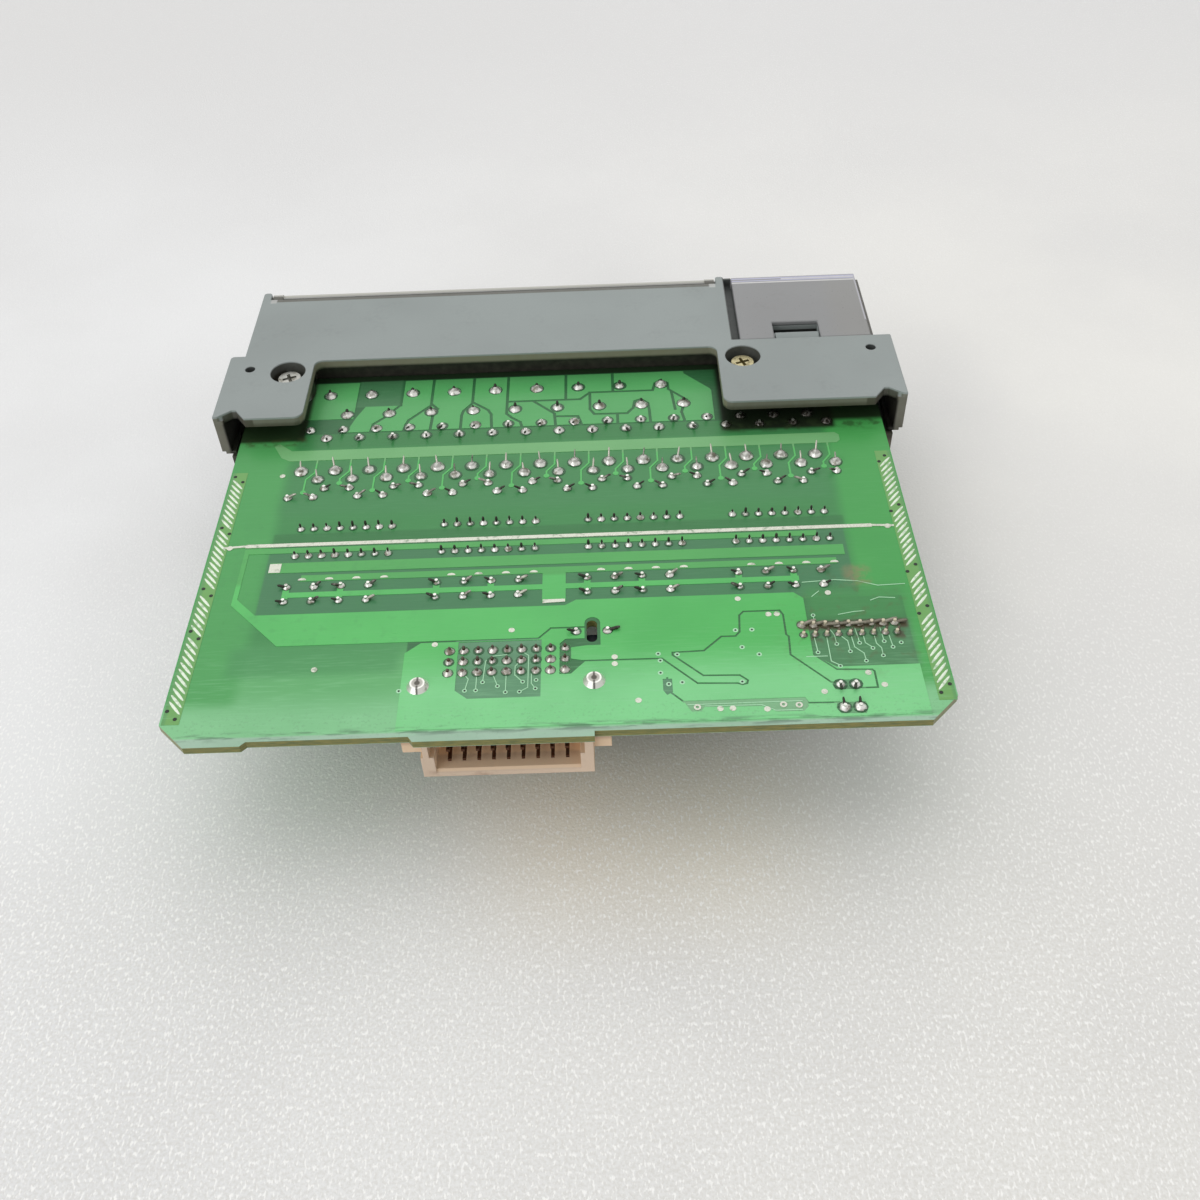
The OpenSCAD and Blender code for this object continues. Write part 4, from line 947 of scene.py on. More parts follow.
class Etching:
    """A flat pattern painted in order, so that what comes later covers what came before."""

    def __init__(self) -> None:
        """Starts with nothing painted."""
        self.outlines: list[tuple[Outline, bool]] = []

    def area(self, outline: Sequence[Point], keep: bool = True) -> None:
        """Paints one closed outline, as material or as a gap."""
        turn = sum(
            a[0] * b[1] - b[0] * a[1] for a, b in zip(outline, (*outline[1:], outline[0]))
        )
        self.outlines.append((list(outline) if turn > 0 else list(reversed(outline)), keep))

    def bar(self, x0: float, x1: float, y0: float, y1: float, keep: bool = True) -> None:
        """Paints a rectangle."""
        self.area([(x0, y0), (x1, y0), (x1, y1), (x0, y1)], keep)

    def track(self, points: Sequence[Point], width: float, keep: bool = True) -> None:
        """Paints a line of a width along points, with square ends."""
        half = width / 2
        for (ax, ay), (bx, by) in zip(points, points[1:]):
            length = math.hypot(bx - ax, by - ay) or 1.0
            ux, uy = (bx - ax) / length * half, (by - ay) / length * half
            self.area(
                [
                    (ax - ux * 0.8 + uy, ay - uy * 0.8 - ux),
                    (bx + ux * 0.8 + uy, by + uy * 0.8 - ux),
                    (bx + ux * 0.8 - uy, by + uy * 0.8 + ux),
                    (ax - ux * 0.8 - uy, ay - uy * 0.8 + ux),
                ],
                keep,
            )

    def disc(self, x: float, y: float, radius: float, keep: bool = True, sides: int = 14) -> None:
        """Paints a disc."""
        step = math.tau / sides
        self.area(
            [
                (x + radius * math.cos(i * step), y + radius * math.sin(i * step))
                for i in range(sides)
            ],
            keep,
        )

    def ring(self, x: float, y: float, radius: float, hole: float) -> None:
        """Paints a disc with a hole."""
        self.disc(x, y, radius)
        self.disc(x, y, hole, keep=False, sides=10)

    def mesh(self, name: str, top: float) -> bpy.types.Mesh:
        """Raises the pattern into a thin layer.

        Args:
            name: the mesh's name.
            top: the layer's height above the solder face.

        Returns:
            The layer with walls down into the board.
        """
        places: list[Vector] = []
        faces: list[list[int]] = []
        for outline, _ in self.outlines:
            faces.append(list(range(len(places), len(places) + len(outline))))
            places.extend(Vector(p) for p in outline)
        flat, _, cells, _, _, owners = delaunay_2d_cdt(places, [], faces, 0, 1e-4, True)
        kept = [
            tuple(cell)
            for cell, owner in zip(cells, owners)
            if owner and self.outlines[max(owner)][1]
        ]
        used = sorted({corner for cell in kept for corner in cell})
        number = {corner: i for i, corner in enumerate(used)}
        count = len(used)
        edges = {(cell[i - 1], cell[i]) for cell in kept for i in range(len(cell))}
        rim = [(a, b) for a, b in edges if (b, a) not in edges]
        points = [DATUM.place(*flat[corner], top) for corner in used]
        points += [DATUM.place(*flat[corner], LAYER_FOOT) for corner in used]
        sheet = [[number[corner] for corner in cell] for cell in kept]
        for a, b in rim:
            a, b = number[a], number[b]
            sheet.append([a + count, b + count, b, a])
        return mesh_of(name, points, sheet)

    def lay(self, name: str, top: float, finish: bpy.types.Material) -> None:
        """Puts the pattern in the scene as a layer of its own."""
        piece(name, self.mesh(name, top), finish)


def islands(node: str) -> list[Point]:
    """The middle of each separate solid of a node, in board millimetres."""
    work = bmesh.new()
    work.from_mesh(frame["nodes"][node].data)
    bmesh.ops.remove_doubles(work, verts=work.verts, dist=TOUCHING)
    seen: set[bmesh.types.BMVert] = set()
    middles = []
    for start in work.verts:
        if start in seen:
            continue
        seen.add(start)
        group = [start]
        for vert in group:
            for edge in vert.link_edges:
                other = edge.other_vert(vert)
                if other not in seen:
                    seen.add(other)
                    group.append(other)
        xs, ys = [v.co.x for v in group], [v.co.y for v in group]
        x = (min(xs) + max(xs)) / 2 / MM - DATUM.x
        y = (min(ys) + max(ys)) / 2 / MM - DATUM.y
        middles.append((x, y))
    work.free()
    return sorted(middles)


@dataclass(frozen=True)
class Block:
    """A small square form added to a moulding, in the part's millimetres."""

    x: Span
    y: Span
    z: Span

    def add_to(self, work: bmesh.types.BMesh) -> None:
        """Adds the form to a mesh being worked on."""
        spans = (self.x, self.y, self.z)
        size = Matrix.Diagonal([(high - low) * MM for low, high in spans]).to_4x4()
        middle = Matrix.Translation([(low + high) / 2 * MM for low, high in spans])
        bmesh.ops.create_cube(work, size=1.0, matrix=middle @ size)


@dataclass(frozen=True)
class Slope:
    """A top edge cut back at a slant, in the part's millimetres."""

    x: Span
    start: float
    end: float
    top: float
    drop: float
    past: float = 1.3

    def cut(self, work: bmesh.types.BMesh) -> None:
        """Splits the top at the start of the slant and lowers what lies beyond it."""
        bmesh.ops.bisect_plane(
            work,
            geom=[*work.verts, *work.edges, *work.faces],
            plane_co=(0.0, self.start * MM, 0.0),
            plane_no=(0.0, 1.0, 0.0),
        )
        low, high = (edge * MM for edge in self.x)
        for vert in work.verts:
            beyond = (vert.co.y / MM - self.start) / (self.end - self.start)
            above = vert.co.z / MM > self.top
            if above and 0.01 < beyond < self.past and low < vert.co.x < high:
                vert.co.z -= min(beyond, 1.0) * self.drop * MM


def softened(
    node: str, width: float, blocks: Sequence[Block] = (), slopes: Sequence[Slope] = ()
) -> bpy.types.Mesh:
    """A copy of a node's mesh with its sharp edges rounded.

    Args:
        node: the node's name.
        width: the rounding in millimetres.
        blocks: forms to add.
        slopes: edges to cut back.

    Returns:
        The rounded mesh.
    """
    mesh = frame["nodes"][node].data.copy()
    work = bmesh.new()
    work.from_mesh(mesh)
    bmesh.ops.remove_doubles(work, verts=work.verts, dist=WELD)
    bmesh.ops.dissolve_limit(work, angle_limit=FLAT, verts=work.verts, edges=work.edges)
    sharp = [e for e in work.edges if e.is_manifold and e.calc_face_angle(0.0) > SHARP]
    rounding = bmesh.ops.bevel(
        work,
        geom=sharp,
        offset=width * MM,
        offset_type="OFFSET",
        segments=2,
        profile=0.5,
        affect="EDGES",
        clamp_overlap=True,
    )
    for face in work.faces:
        face.smooth = face.calc_area() < SMALL_FACE * MM * MM
    for face in rounding["faces"]:
        face.smooth = True
    for slope in slopes:
        slope.cut(work)
    for block in blocks:
        block.add_to(work)
    work.to_mesh(mesh)
    work.free()
    mesh.name = f"{node}_rounded"
    return mesh


# Solder side


@dataclass(frozen=True)
class Style:
    """How one kind of solder joint looks: the fillet, and the lead clipped above it.

    Lengths are in millimetres. The lead rises straight out of the joint, then leans by reach
    towards heading, in degrees from the x axis.
    """

    radius: float
    height: float
    swell: float
    rise: float
    reach: float = 0.0
    heading: float = 90.0
    thick: float = 0.24
    # shine: how brightly the lead is painted, a painted reflection
    shine: float = 0.0


class Rule(Nodes):
    """Writes a geometry tree that sets a shape of one finish on every point of a mesh."""

    def __init__(self, name: str, sizes: dict[str, float]) -> None:
        """Starts a tree.

        Args:
            name: its name.
            sizes: its number inputs, each with a default.
        """
        super().__init__(bpy.data.node_groups.new(name, "GeometryNodeTree"))
        sockets = [("Geometry", "INPUT", "Geometry"), ("Geometry", "OUTPUT", "Geometry")]
        sockets += [("Finish", "INPUT", "Material"), *((key, "INPUT", "Float") for key in sizes)]
        for key, way, kind in sockets:
            made = self.tree.interface.new_socket(
                key, in_out=way, socket_type=f"NodeSocket{kind}"
            )
            if key in sizes:
                made.default_value = sizes[key]
        start = self.tree.nodes.new("NodeGroupInput")
        self.entry = {socket.name: Shade(self, socket) for socket in start.outputs}

    def finished(self, shape: Shade) -> bpy.types.NodeTree:
        """Ends the tree in plain geometry of its finish."""
        plain = self.node("GeometryNodeRealizeInstances", {}, {0: shape})
        inputs = {"Geometry": plain, "Material": self.entry["Finish"]}
        painted = self.node("GeometryNodeSetMaterial", {}, inputs)
        self.node("NodeGroupOutput", {}, {0: painted}, None)
        return self.tree

    def drum(self, sides: int, layers: int, radius: float) -> Shade:
        """A closed cylinder, one unit high."""
        sizes = {"Vertices": sides, "Side Segments": layers, "Radius": radius, "Depth": 1.0}
        return self.node("GeometryNodeMeshCylinder", {"fill_type": "NGON"}, sizes)

    def stored(self, name: str, kind: str = "FLOAT") -> Shade:
        """Reads a value stored on the points."""
        return self.node("GeometryNodeInputNamedAttribute", {"data_type": kind}, {"Name": name})

    def apart(self, place: Shade) -> tuple[Shade, Shade, Shade]:
        """Splits a place into x, y and z."""
        return tuple(self.node("ShaderNodeSeparateXYZ", {}, {0: place}, axis) for axis in "XYZ")

    def joined(self, x: Any = 0.0, y: Any = 0.0, z: Any = 0.0) -> Shade:
        """Joins x, y and z into a place."""
        return self.node("ShaderNodeCombineXYZ", {}, {0: x, 1: y, 2: z})

    def position(self) -> Shade:
        """Reads where each point of the geometry is."""
        return self.node("GeometryNodeInputPosition", {}, {})

    def moved(self, shape: Shade, place: Shade) -> Shade:
        """Moves the points of a shape to new places."""
        return self.node("GeometryNodeSetPosition", {}, {"Geometry": shape, "Position": place})

    def grown(self, shape: Shade) -> tuple[Shade, Shade, Shade, Shade]:
        """Puts a unit shape on every point, which has its own place stored as home.

        Args:
            shape: the unit shape.

        Returns:
            The shapes as plain geometry, and x, y and z counted from each one's own point.
        """
        inputs = {"Points": self.entry["Geometry"], "Instance": shape}
        grown = self.node("GeometryNodeInstanceOnPoints", {}, inputs)
        plain = self.node("GeometryNodeRealizeInstances", {}, {0: grown})
        ends = {0: self.position(), 1: self.stored("home", "FLOAT_VECTOR")}
        offset = self.node("ShaderNodeVectorMath", {"operation": "SUBTRACT"}, ends)
        return (plain, *self.apart(offset))

    def placed(self, shape: Shade, x: Any, y: Any, z: Any) -> Shade:
        """Moves a shape's points to x, y and z from its own point."""
        ends = {0: self.stored("home", "FLOAT_VECTOR"), 1: self.joined(x, y, z)}
        return self.moved(shape, self.node("ShaderNodeVectorMath", {}, ends))


def fillet_rule() -> bpy.types.NodeTree:
    """A ring of solder drawn up round a lead, uneven from joint to joint."""
    rule = Rule("solder_fillet", {"Unevenness": 0.22, "Ripple": 0.55})
    uneven = rule.entry["Unevenness"]
    local, x, y, z = rule.grown(rule.drum(14, 6, 1.0))
    lift = (z + 0.5).least(0.985).most(0.0)
    inputs = {"Vector": rule.position(), "Scale": rule.entry["Ripple"] / MM}
    wave = rule.node("ShaderNodeTexNoise", {}, inputs) - 0.5
    girth = (1.0 - lift) ** rule.stored("swell")
    spread = rule.stored("radius") * girth * (1.0 + wave * uneven * 4.0)
    rise = rule.stored("height") * lift * (1.0 + wave * uneven)
    return rule.finished(rule.placed(local, x * spread, y * spread, rise))


def lead_rule() -> bpy.types.NodeTree:
    """A clipped wire that leaves its joint straight up and leans over towards its end."""
    rule = Rule("clipped_lead", {"Nip": 0.45})
    wire = rule.node("GeometryNodeCurvePrimitiveLine", {}, {1: (0.0, 0.0, 1.0)})
    wire = rule.node("GeometryNodeResampleCurve", {}, {"Curve": wire, "Count": 8})
    local, _, _, t = rule.grown(wire)
    reach = rule.stored("reach") * t**1.6
    east, north = (
        rule.node("ShaderNodeMath", {"operation": kind}, {0: rule.stored("heading")})
        for kind in ("COSINE", "SINE")
    )
    bent = rule.placed(local, east * reach, north * reach, rule.stored("rise") * t)
    ring = rule.node("GeometryNodeCurvePrimitiveCircle", {}, {"Resolution": 8, "Radius": 1.0})
    factor = rule.node("GeometryNodeSplineParameter", {}, {}, "Factor")
    thick = rule.stored("thick") * (1.0 - rule.entry["Nip"] * factor**9.0)
    inputs = {"Curve": bent, "Profile Curve": ring, "Scale": thick, "Fill Caps": True}
    return rule.finished(rule.node("GeometryNodeCurveToMesh", {}, inputs))


def slash_rule() -> bpy.types.NodeTree:
    """Rounded slashes, one on each point, all leaning the same way."""
    rule = Rule("slash_row", dict.fromkeys(("Length", "Width", "Height", "Lean"), 0.0))
    x, y, z = rule.apart(rule.position())
    draw_in = 1.0 - ((z + 0.5) ** 3.0) * 0.35
    slash = rule.moved(rule.drum(10, 3, 0.5), rule.joined(x * draw_in, y * draw_in, z))
    inputs = {
        "Points": rule.entry["Geometry"],
        "Instance": slash,
        "Rotation": rule.joined(z=rule.entry["Lean"]),
        "Scale": rule.joined(*(rule.entry[key] for key in ("Length", "Width", "Height"))),
    }
    return rule.finished(rule.node("GeometryNodeInstanceOnPoints", {}, inputs))


def chance(number: int, key: str) -> float:
    """A repeatable scatter from -1 to 1 for a joint's number and a name."""
    value = math.sin(number * 12.9898 + len(key) * 78.233) * 43758.5453
    return (value - math.floor(value)) * 2.0 - 1.0


@dataclass(frozen=True)
class Bend:
    """Joints between two levels whose x falls on a phase of a period, and how they look."""

    low: float
    high: float
    style: Style
    phase: float = 0.0
    period: float = 0.0
    reach: float = 1.2

    def holds(self, x: float, y: float) -> bool:
        """Whether a joint at this place is one of them."""
        if not self.low <= y < self.high:
            return False
        if not self.period:
            return True
        off = (x - self.phase) % self.period
        return min(off, self.period - off) < self.reach


@dataclass
class Joints:
    """The soldered leads, each on the place of its own solid."""

    nodes: tuple[str, ...] = (
        "header_solder",
        "channel_solder",
        "optocoupler_solder",
        "pull_up_solder",
        "connector_solder",
        "small_part_solder",
    )
    seed: int = 11
    # dark rings round the joints, painted shade: how far past a fillet, and how high
    shade_ring_reach: float = 1.2
    shade_ring_top: float = 0.085
    scatter: float = 0.16
    bends: tuple[Bend, ...] = (
        Bend(34.0, 60.0, Style(1.3, 1.1, 0.7, 1.5, 0.2, 80.0, 0.32)),
        Bend(29.8, 34.0, Style(1.1, 0.9, 0.65, 1.15, 1.9, 262.0, 0.24)),
        Bend(25.0, 29.8, Style(1.1, 0.9, 0.65, 1.15, 1.9, 276.0, 0.24)),
        Bend(16.2, 20.0, Style(1.3, 1.15, 0.5, 2.3, 1.3, 88.0, 0.19, 0.7)),
        Bend(13.5, 16.2, Style(1.2, 1.1, 0.5, 2.1, 1.2, 94.0, 0.19, 0.7)),
        Bend(10.6, 13.5, Style(0.85, 0.8, 0.6, 1.2, 1.7, 352.0, 0.24, 0.4), 3.2, 13.97),
        Bend(10.6, 13.5, Style(0.85, 0.8, 0.6, 1.2, 1.7, 190.0, 0.24, 0.4)),
        Bend(7.9, 10.6, Style(0.85, 0.8, 0.6, 1.2, 1.7, 8.0, 0.24, 0.4), -4.2, 13.97),
        Bend(7.9, 10.6, Style(0.85, 0.8, 0.6, 1.2, 1.7, 172.0, 0.24, 0.4)),
        Bend(4.0, 7.9, Style(0.95, 0.85, 0.6, 0.9)),
        Bend(-9.0, 4.0, Style(0.72, 0.8, 0.75, 1.5, 0.15, 90.0, 0.25)),
        Bend(-21.5, -14.0, Style(0.74, 0.62, 0.7, 0.85, 1.5, 180.0, 0.26, 0.15), 0.0, 27.94, 2.3),
        Bend(-21.5, -14.0, Style(0.74, 0.62, 0.7, 0.85, 1.5, 178.0, 0.26, 0.15), 10.0, 27.94, 2.3),
        Bend(-21.5, -14.0, Style(0.78, 0.66, 0.6, 0.9, 1.5, 14.0, 0.28, 0.4)),
        Bend(-33.0, -28.9, Style(0.85, 0.75, 0.7, 1.1, 1.6, 184.0, 0.26), 53.5, 100.0),
        Bend(-31.2, -28.9, Style(0.82, 0.55, 0.75, 0.62, 2.3, 1.0, 0.32, 0.35)),
        Bend(-33.2, -31.2, Style(0.66, 0.6, 0.7, 0.9, 0.7, 66.0, 0.26)),
        Bend(-39.5, -33.2, Style(0.85, 0.9, 0.75, 1.2, 0.1, 90.0, 0.27)),
        Bend(-46.0, -39.5, Style(1.02, 0.6, 0.5, 0.9, 1.5, 262.0, 0.24)),
        Bend(-60.0, -46.0, Style(1.05, 0.6, 0.5, 0.9, 1.4, 92.0, 0.22)),
    )

    def style_at(self, x: float, y: float) -> Style:
        """The look of the joint at a place."""
        return next(bend.style for bend in self.bends if bend.holds(x, y))

    def points(self, name: str, spots: Sequence[Point], shift: int) -> bpy.types.Mesh:
        """Points that carry each joint's sizes, a little uneven."""
        homes = [DATUM.place(x, y, JOINT_FOOT) for x, y in spots]
        mesh = mesh_of(name, homes, [])
        home = mesh.attributes.new("home", "FLOAT_VECTOR", "POINT")
        home.data.foreach_set("vector", [c for h in homes for c in h])
        styles = [self.style_at(x, y) for x, y in spots]
        spreads = {"heading": 14.0, "shine": 0.25}
        units = {"heading": math.radians(1.0), "swell": 1.0, "shine": 1.0}
        for key in ("radius", "height", "swell", "rise", "reach", "heading", "thick", "shine"):
            values = []
            for i, style in enumerate(styles):
                value = getattr(style, key)
                wander = spreads.get(key, value * self.scatter) * chance(i + shift, key)
                values.append((value + wander) * units.get(key, MM))
            attribute = mesh.attributes.new(key, "FLOAT", "POINT")
            attribute.data.foreach_set("value", values)
        return mesh

    def build(
        self, solder: bpy.types.Material, lead: bpy.types.Material, ring_shade: bpy.types.Material
    ) -> None:
        """Makes the fillets, the clipped leads and a dark ring of painted shade round every joint.
        """
        fillet, wire = fillet_rule(), lead_rule()
        shade_rings = Etching()
        for number, node in enumerate(self.nodes):
            spots = islands(node)
            for x, y in spots:
                shade_rings.disc(x, y, self.style_at(x, y).radius * self.shade_ring_reach, sides=12)
            group = node.removesuffix("_solder")
            start = self.points(f"{group}_points", spots, self.seed + number)
            fillets = baked(start, fillet, {"Finish": solder}, smooth=True)
            piece(f"{group}_joints", fillets, solder, (node,))
            piece(f"{group}_lead_ends", baked(start, wire, {"Finish": lead}), lead)
        shade_rings.lay("joint_shade_rings", self.shade_ring_top, ring_shade)


@dataclass
class Copper:
    """The copper on the solder side under the mask, as outlines in board millimetres."""

    thickness: float = 0.07
    gap: float = 0.36
    wide_gap: float = 0.62
    trace: float = 0.16
    via: float = 0.42
    fine_lift: float = 0.012
    # fmt: off
    scratches: tuple[tuple[Point, ...], ...] = (
        ((94.9, -19.2), (101.0, -18.8), (105.0, -19.3), (108.5, -20.6), (113.4, -20.4)),
        ((106.6, -24.3), (108.2, -23.6), (111.0, -23.9)),
        ((96.2, -22.9), (97.6, -21.6)),
        ((93.4, -37.4), (97.0, -37.4)),
        ((100.3, -27.6), (103.2, -27.0), (105.0, -26.9)),
        ((72.2, -47.3), (91.4, -47.2)),
        ((75.2, -47.7), (84.6, -47.8), (86.8, -49.1), (91.2, -49.1)),
    )
    groups: int = 4
    group_pitch: float = 27.94
    channel_pitch: float = 6.985

    main_pour: tuple[Point, ...] = (
        (-9.9, -5.3), (-9.9, -20.2), (0.2, -30.8), (46.9, -30.8), (46.9, -31.2), (26.0, -31.2),
        (23.3, -33.5), (23.3, -50.8), (112.5, -50.8), (112.5, -39.8), (98.2, -39.9),
        (94.6, -37.0), (94.6, -23.2), (93.0, -21.7), (53.5, -21.7), (51.5, -23.0), (-5.0, -23.0),
        (-9.0, -18.8), (-9.0, -5.3),
    )
    isolation: tuple[tuple[Point, ...], ...] = (
        ((46.8, -31.0), (49.0, -28.6), (55.4, -28.6)),
        (
            (52.5, -36.6), (68.4, -36.7), (74.2, -42.6), (81.0, -42.9), (81.8, -43.2),
            (82.6, -43.0), (82.8, -42.3), (81.5, -41.1), (75.3, -40.9), (70.3, -36.0),
            (70.3, -35.4), (75.8, -35.2), (79.1, -32.0), (81.6, -32.0), (82.4, -31.0),
            (82.7, -27.0), (83.5, -26.1), (90.0, -26.1), (90.5, -27.2), (90.5, -32.0),
            (90.9, -32.5), (90.7, -36.8), (96.8, -43.3), (98.0, -43.6),
        ),
        ((94.8, -37.0), (95.6, -37.9), (98.2, -40.5), (104.2, -40.8), (104.5, -41.2),
         (104.5, -44.8), (101.8, -44.8)),
        ((69.1, -44.0), (71.6, -46.6), (84.8, -46.6), (91.9, -46.6), (92.4, -47.7),
         (97.5, -47.8)),
        ((69.1, -41.2), (69.1, -44.6)),
    )
    patches: tuple[tuple[Point, ...], ...] = (
        ((32.7, -31.3), (47.4, -31.3), (47.4, -44.4), (34.9, -44.4), (32.7, -42.5)),
        ((50.6, -32.4), (51.6, -31.3), (55.4, -31.3), (55.4, -33.0), (52.6, -33.4), (52.6, -36.0),
         (55.2, -36.6), (52.6, -39.5), (50.6, -39.5)),
        ((68.3, -41.4), (69.9, -41.4), (69.9, -44.4), (68.9, -45.0), (68.3, -44.0)),
        ((71.6, -46.5), (72.8, -48.8), (74.4, -48.8), (75.0, -47.9), (84.6, -48.1), (87.1, -49.4),
         (91.5, -49.4), (92.4, -48.4), (91.9, -46.6)),
        ((96.9, -43.8), (97.5, -42.9), (101.4, -42.9), (102.2, -44.0), (101.2, -45.1),
         (97.3, -45.0)),
        ((97.2, -47.8), (101.9, -47.8), (102.3, -49.0), (101.7, -50.3), (97.5, -50.2),
         (96.9, -49.0)),
    )
    connector_vias: tuple[Point, ...] = (
        (34.4, -42.6), (36.3, -42.6), (37.4, -40.8), (41.4, -43.2), (43.8, -43.2), (44.3, -41.0),
        (46.5, -42.6), (46.6, -40.7), (40.0, -41.8),
    )
    connector_traces: tuple[tuple[Point, ...], ...] = (
        ((34.4, -42.6), (34.9, -40.0), (33.8, -38.5)),
        ((36.3, -42.6), (36.3, -38.5)),
        ((37.4, -40.8), (37.7, -36.0), (38.8, -34.9), (41.4, -34.6)),
        ((40.0, -41.8), (38.9, -38.5)),
        ((41.4, -43.2), (41.4, -38.5)),
        ((43.8, -43.2), (45.2, -42.3), (45.2, -35.0), (44.0, -33.9)),
        ((44.3, -41.0), (42.9, -39.4), (42.9, -37.4), (44.0, -36.0)),
        ((46.5, -42.6), (45.8, -41.4), (45.8, -38.8)),
    )
    ribbon_vias: tuple[Point, ...] = (
        (95.8, -27.6), (95.5, -36.5), (99.0, -34.7), (98.9, -39.8), (101.1, -36.5),
        (103.0, -34.6), (103.5, -38.8), (105.1, -35.9), (107.3, -34.4), (106.6, -37.7),
        (108.6, -35.8), (110.2, -34.8),
    )
    ribbon_traces: tuple[tuple[Point, ...], ...] = (
        ((95.8, -27.9), (95.9, -29.6)),
        ((95.5, -36.2), (95.3, -32.6)),
        ((99.0, -34.4), (98.9, -32.5), (98.2, -31.0)),
        ((98.9, -39.6), (97.5, -38.6), (97.5, -32.8)),
        ((101.1, -36.2), (101.0, -34.0), (100.1, -32.9)),
        ((103.0, -34.3), (102.7, -31.0)),
        ((103.5, -38.5), (103.4, -37.0), (102.0, -35.5), (101.8, -32.8)),
        ((105.1, -35.7), (104.0, -34.6), (103.9, -32.8)),
        ((107.3, -34.1), (107.1, -31.0)),
        ((106.6, -37.4), (106.6, -35.9), (105.9, -34.8), (105.8, -32.8)),
        ((108.6, -35.5), (108.4, -33.0)),
    )
    dark_vias: tuple[Point, ...] = (
        (67.8, -35.6), (68.1, -37.2), (71.1, -35.9), (68.0, -40.0), (81.7, -30.6), (84.6, -30.6),
        (82.5, -34.7), (85.3, -36.5), (71.6, -42.3), (81.8, -42.6), (23.1, -42.2), (69.3, -42.6),
    )
    upper_pours: tuple[tuple[Point, ...], ...] = (
        ((-5.0, 34.7), (6.0, 34.7), (6.0, 47.5), (-5.0, 47.5)),
        ((8.2, 38.7), (6.6, 35.0), (5.0, 30.0), (82.8, 30.0), (82.8, 40.3), (82.5, 41.0),
         (77.2, 46.8), (77.2, 47.6), (15.8, 47.6), (15.8, 38.7)),
    )
    upper_gaps: tuple[tuple[Point, ...], ...] = (
        ((15.8, 47.6), (15.8, 38.7)),
        ((15.8, 38.9), (12.6, 34.6), (10.5, 32.5), (10.2, 30.0)),
        ((22.4, 48.0), (22.4, 38.4), (18.0, 33.5), (17.5, 32.0), (17.2, 29.8)),
        ((22.4, 39.0), (23.9, 37.0), (23.0, 34.5), (22.8, 29.8)),
        ((31.3, 48.0), (31.3, 38.6), (29.5, 36.0), (29.2, 34.5), (29.2, 29.8)),
        ((31.3, 39.0), (34.8, 36.0), (35.5, 34.5), (35.8, 29.8)),
        ((38.8, 48.0), (38.8, 34.5), (40.0, 33.0), (41.8, 31.5), (42.2, 29.8)),
        ((39.0, 38.7), (54.5, 38.7)),
        ((44.5, 38.5), (49.0, 34.0), (49.3, 29.8)),
        ((49.2, 33.0), (54.0, 32.8), (54.8, 29.8)),
        ((51.4, 47.7), (51.4, 39.0)),
        ((54.5, 38.7), (56.6, 41.0)),
        ((61.6, 47.7), (61.6, 41.2)),
        ((56.5, 41.0), (70.2, 41.0), (70.8, 43.5), (71.9, 44.6), (73.5, 43.5), (73.6, 41.2),
         (77.3, 37.3)),
        ((56.6, 41.0), (56.6, 35.0), (57.5, 33.3), (64.5, 33.2), (65.8, 35.0), (66.2, 37.3),
         (67.5, 38.0), (69.0, 36.5), (69.2, 34.0), (69.3, 29.8)),
        ((62.4, 33.0), (62.4, 29.8)),
        ((74.2, 40.3), (74.7, 34.0)),
        ((76.7, 36.0), (76.0, 33.0), (76.5, 29.8)),
    )
    bars: tuple[tuple[float, float, float, float], ...] = (
        (-9.9, 99.3, -6.7, -5.3), (-4.4, 103.8, -12.1, -9.4), (2.0, 102.0, -14.5, -12.9),
        (-0.5, 94.5, -18.7, -17.4), (47.3, 51.6, -22.0, -12.9),
    )
    upper_band: tuple[Point, ...] = (
        (-5.5, 21.0), (107.0, 21.0), (107.8, 21.8), (107.8, 23.5), (107.0, 24.3), (-5.5, 24.3),
        (-8.4, 26.8), (-9.4, 26.0), (-7.4, 22.2),
    )
    # fmt: on
    feet: tuple[float, float] = (-0.3, 9.8)
    grid: float = 2.54
    clear_columns: tuple[int, int] = (2, 6)
    channels: int = 16
    branch: float = 0.34
    branch_end: float = 0.6
    foot_half: float = 0.6
    jog: float = 1.6

    def build(self, finish: bpy.types.Material, thin: bpy.types.Material) -> None:
        """Makes the copper of the whole side, and the fine lines and rings that look paler."""
        e = Etching()
        self._power_side(e)
        self._field_side(e)
        e.lay("solder_side_copper", self.thickness, finish)
        fine = Etching()
        for line in (*self.connector_traces, *self.ribbon_traces, *self.scratches):
            fine.track(line, self.trace)
        for x, y in (*self.connector_vias, *self.ribbon_vias):
            fine.disc(x, y, self.via, sides=12)
        for x, y in self.dark_vias:
            fine.disc(x, y, self.via * 1.15, sides=12)
        fine.lay("fine_traces", self.thickness + self.fine_lift, thin)

    def _power_side(self, e: Etching) -> None:
        """Paints the half that runs to the backplane connector."""
        e.area(self.main_pour)
        for bar in self.bars:
            e.bar(*bar)
        for group in range(self.groups):
            for foot in self.feet:
                x = foot + group * self.group_pitch
                e.bar(x - self.foot_half, x + self.foot_half, -19.8, -16.0)
        for outline in self.patches:
            e.area(outline, keep=False)
        for line in self.isolation:
            e.track(line, self.gap, keep=False)
        e.bar(55.0, 57.8, -33.0, -27.6, keep=False)
        e.disc(56.4, -27.6, 1.4, keep=False)
        first, last = self.clear_columns
        for column in range(9):
            for row in range(3):
                x, y = 31.25 + self.grid * column, -33.45 - self.grid * row
                e.disc(x, y, 1.05, not first <= column <= last)

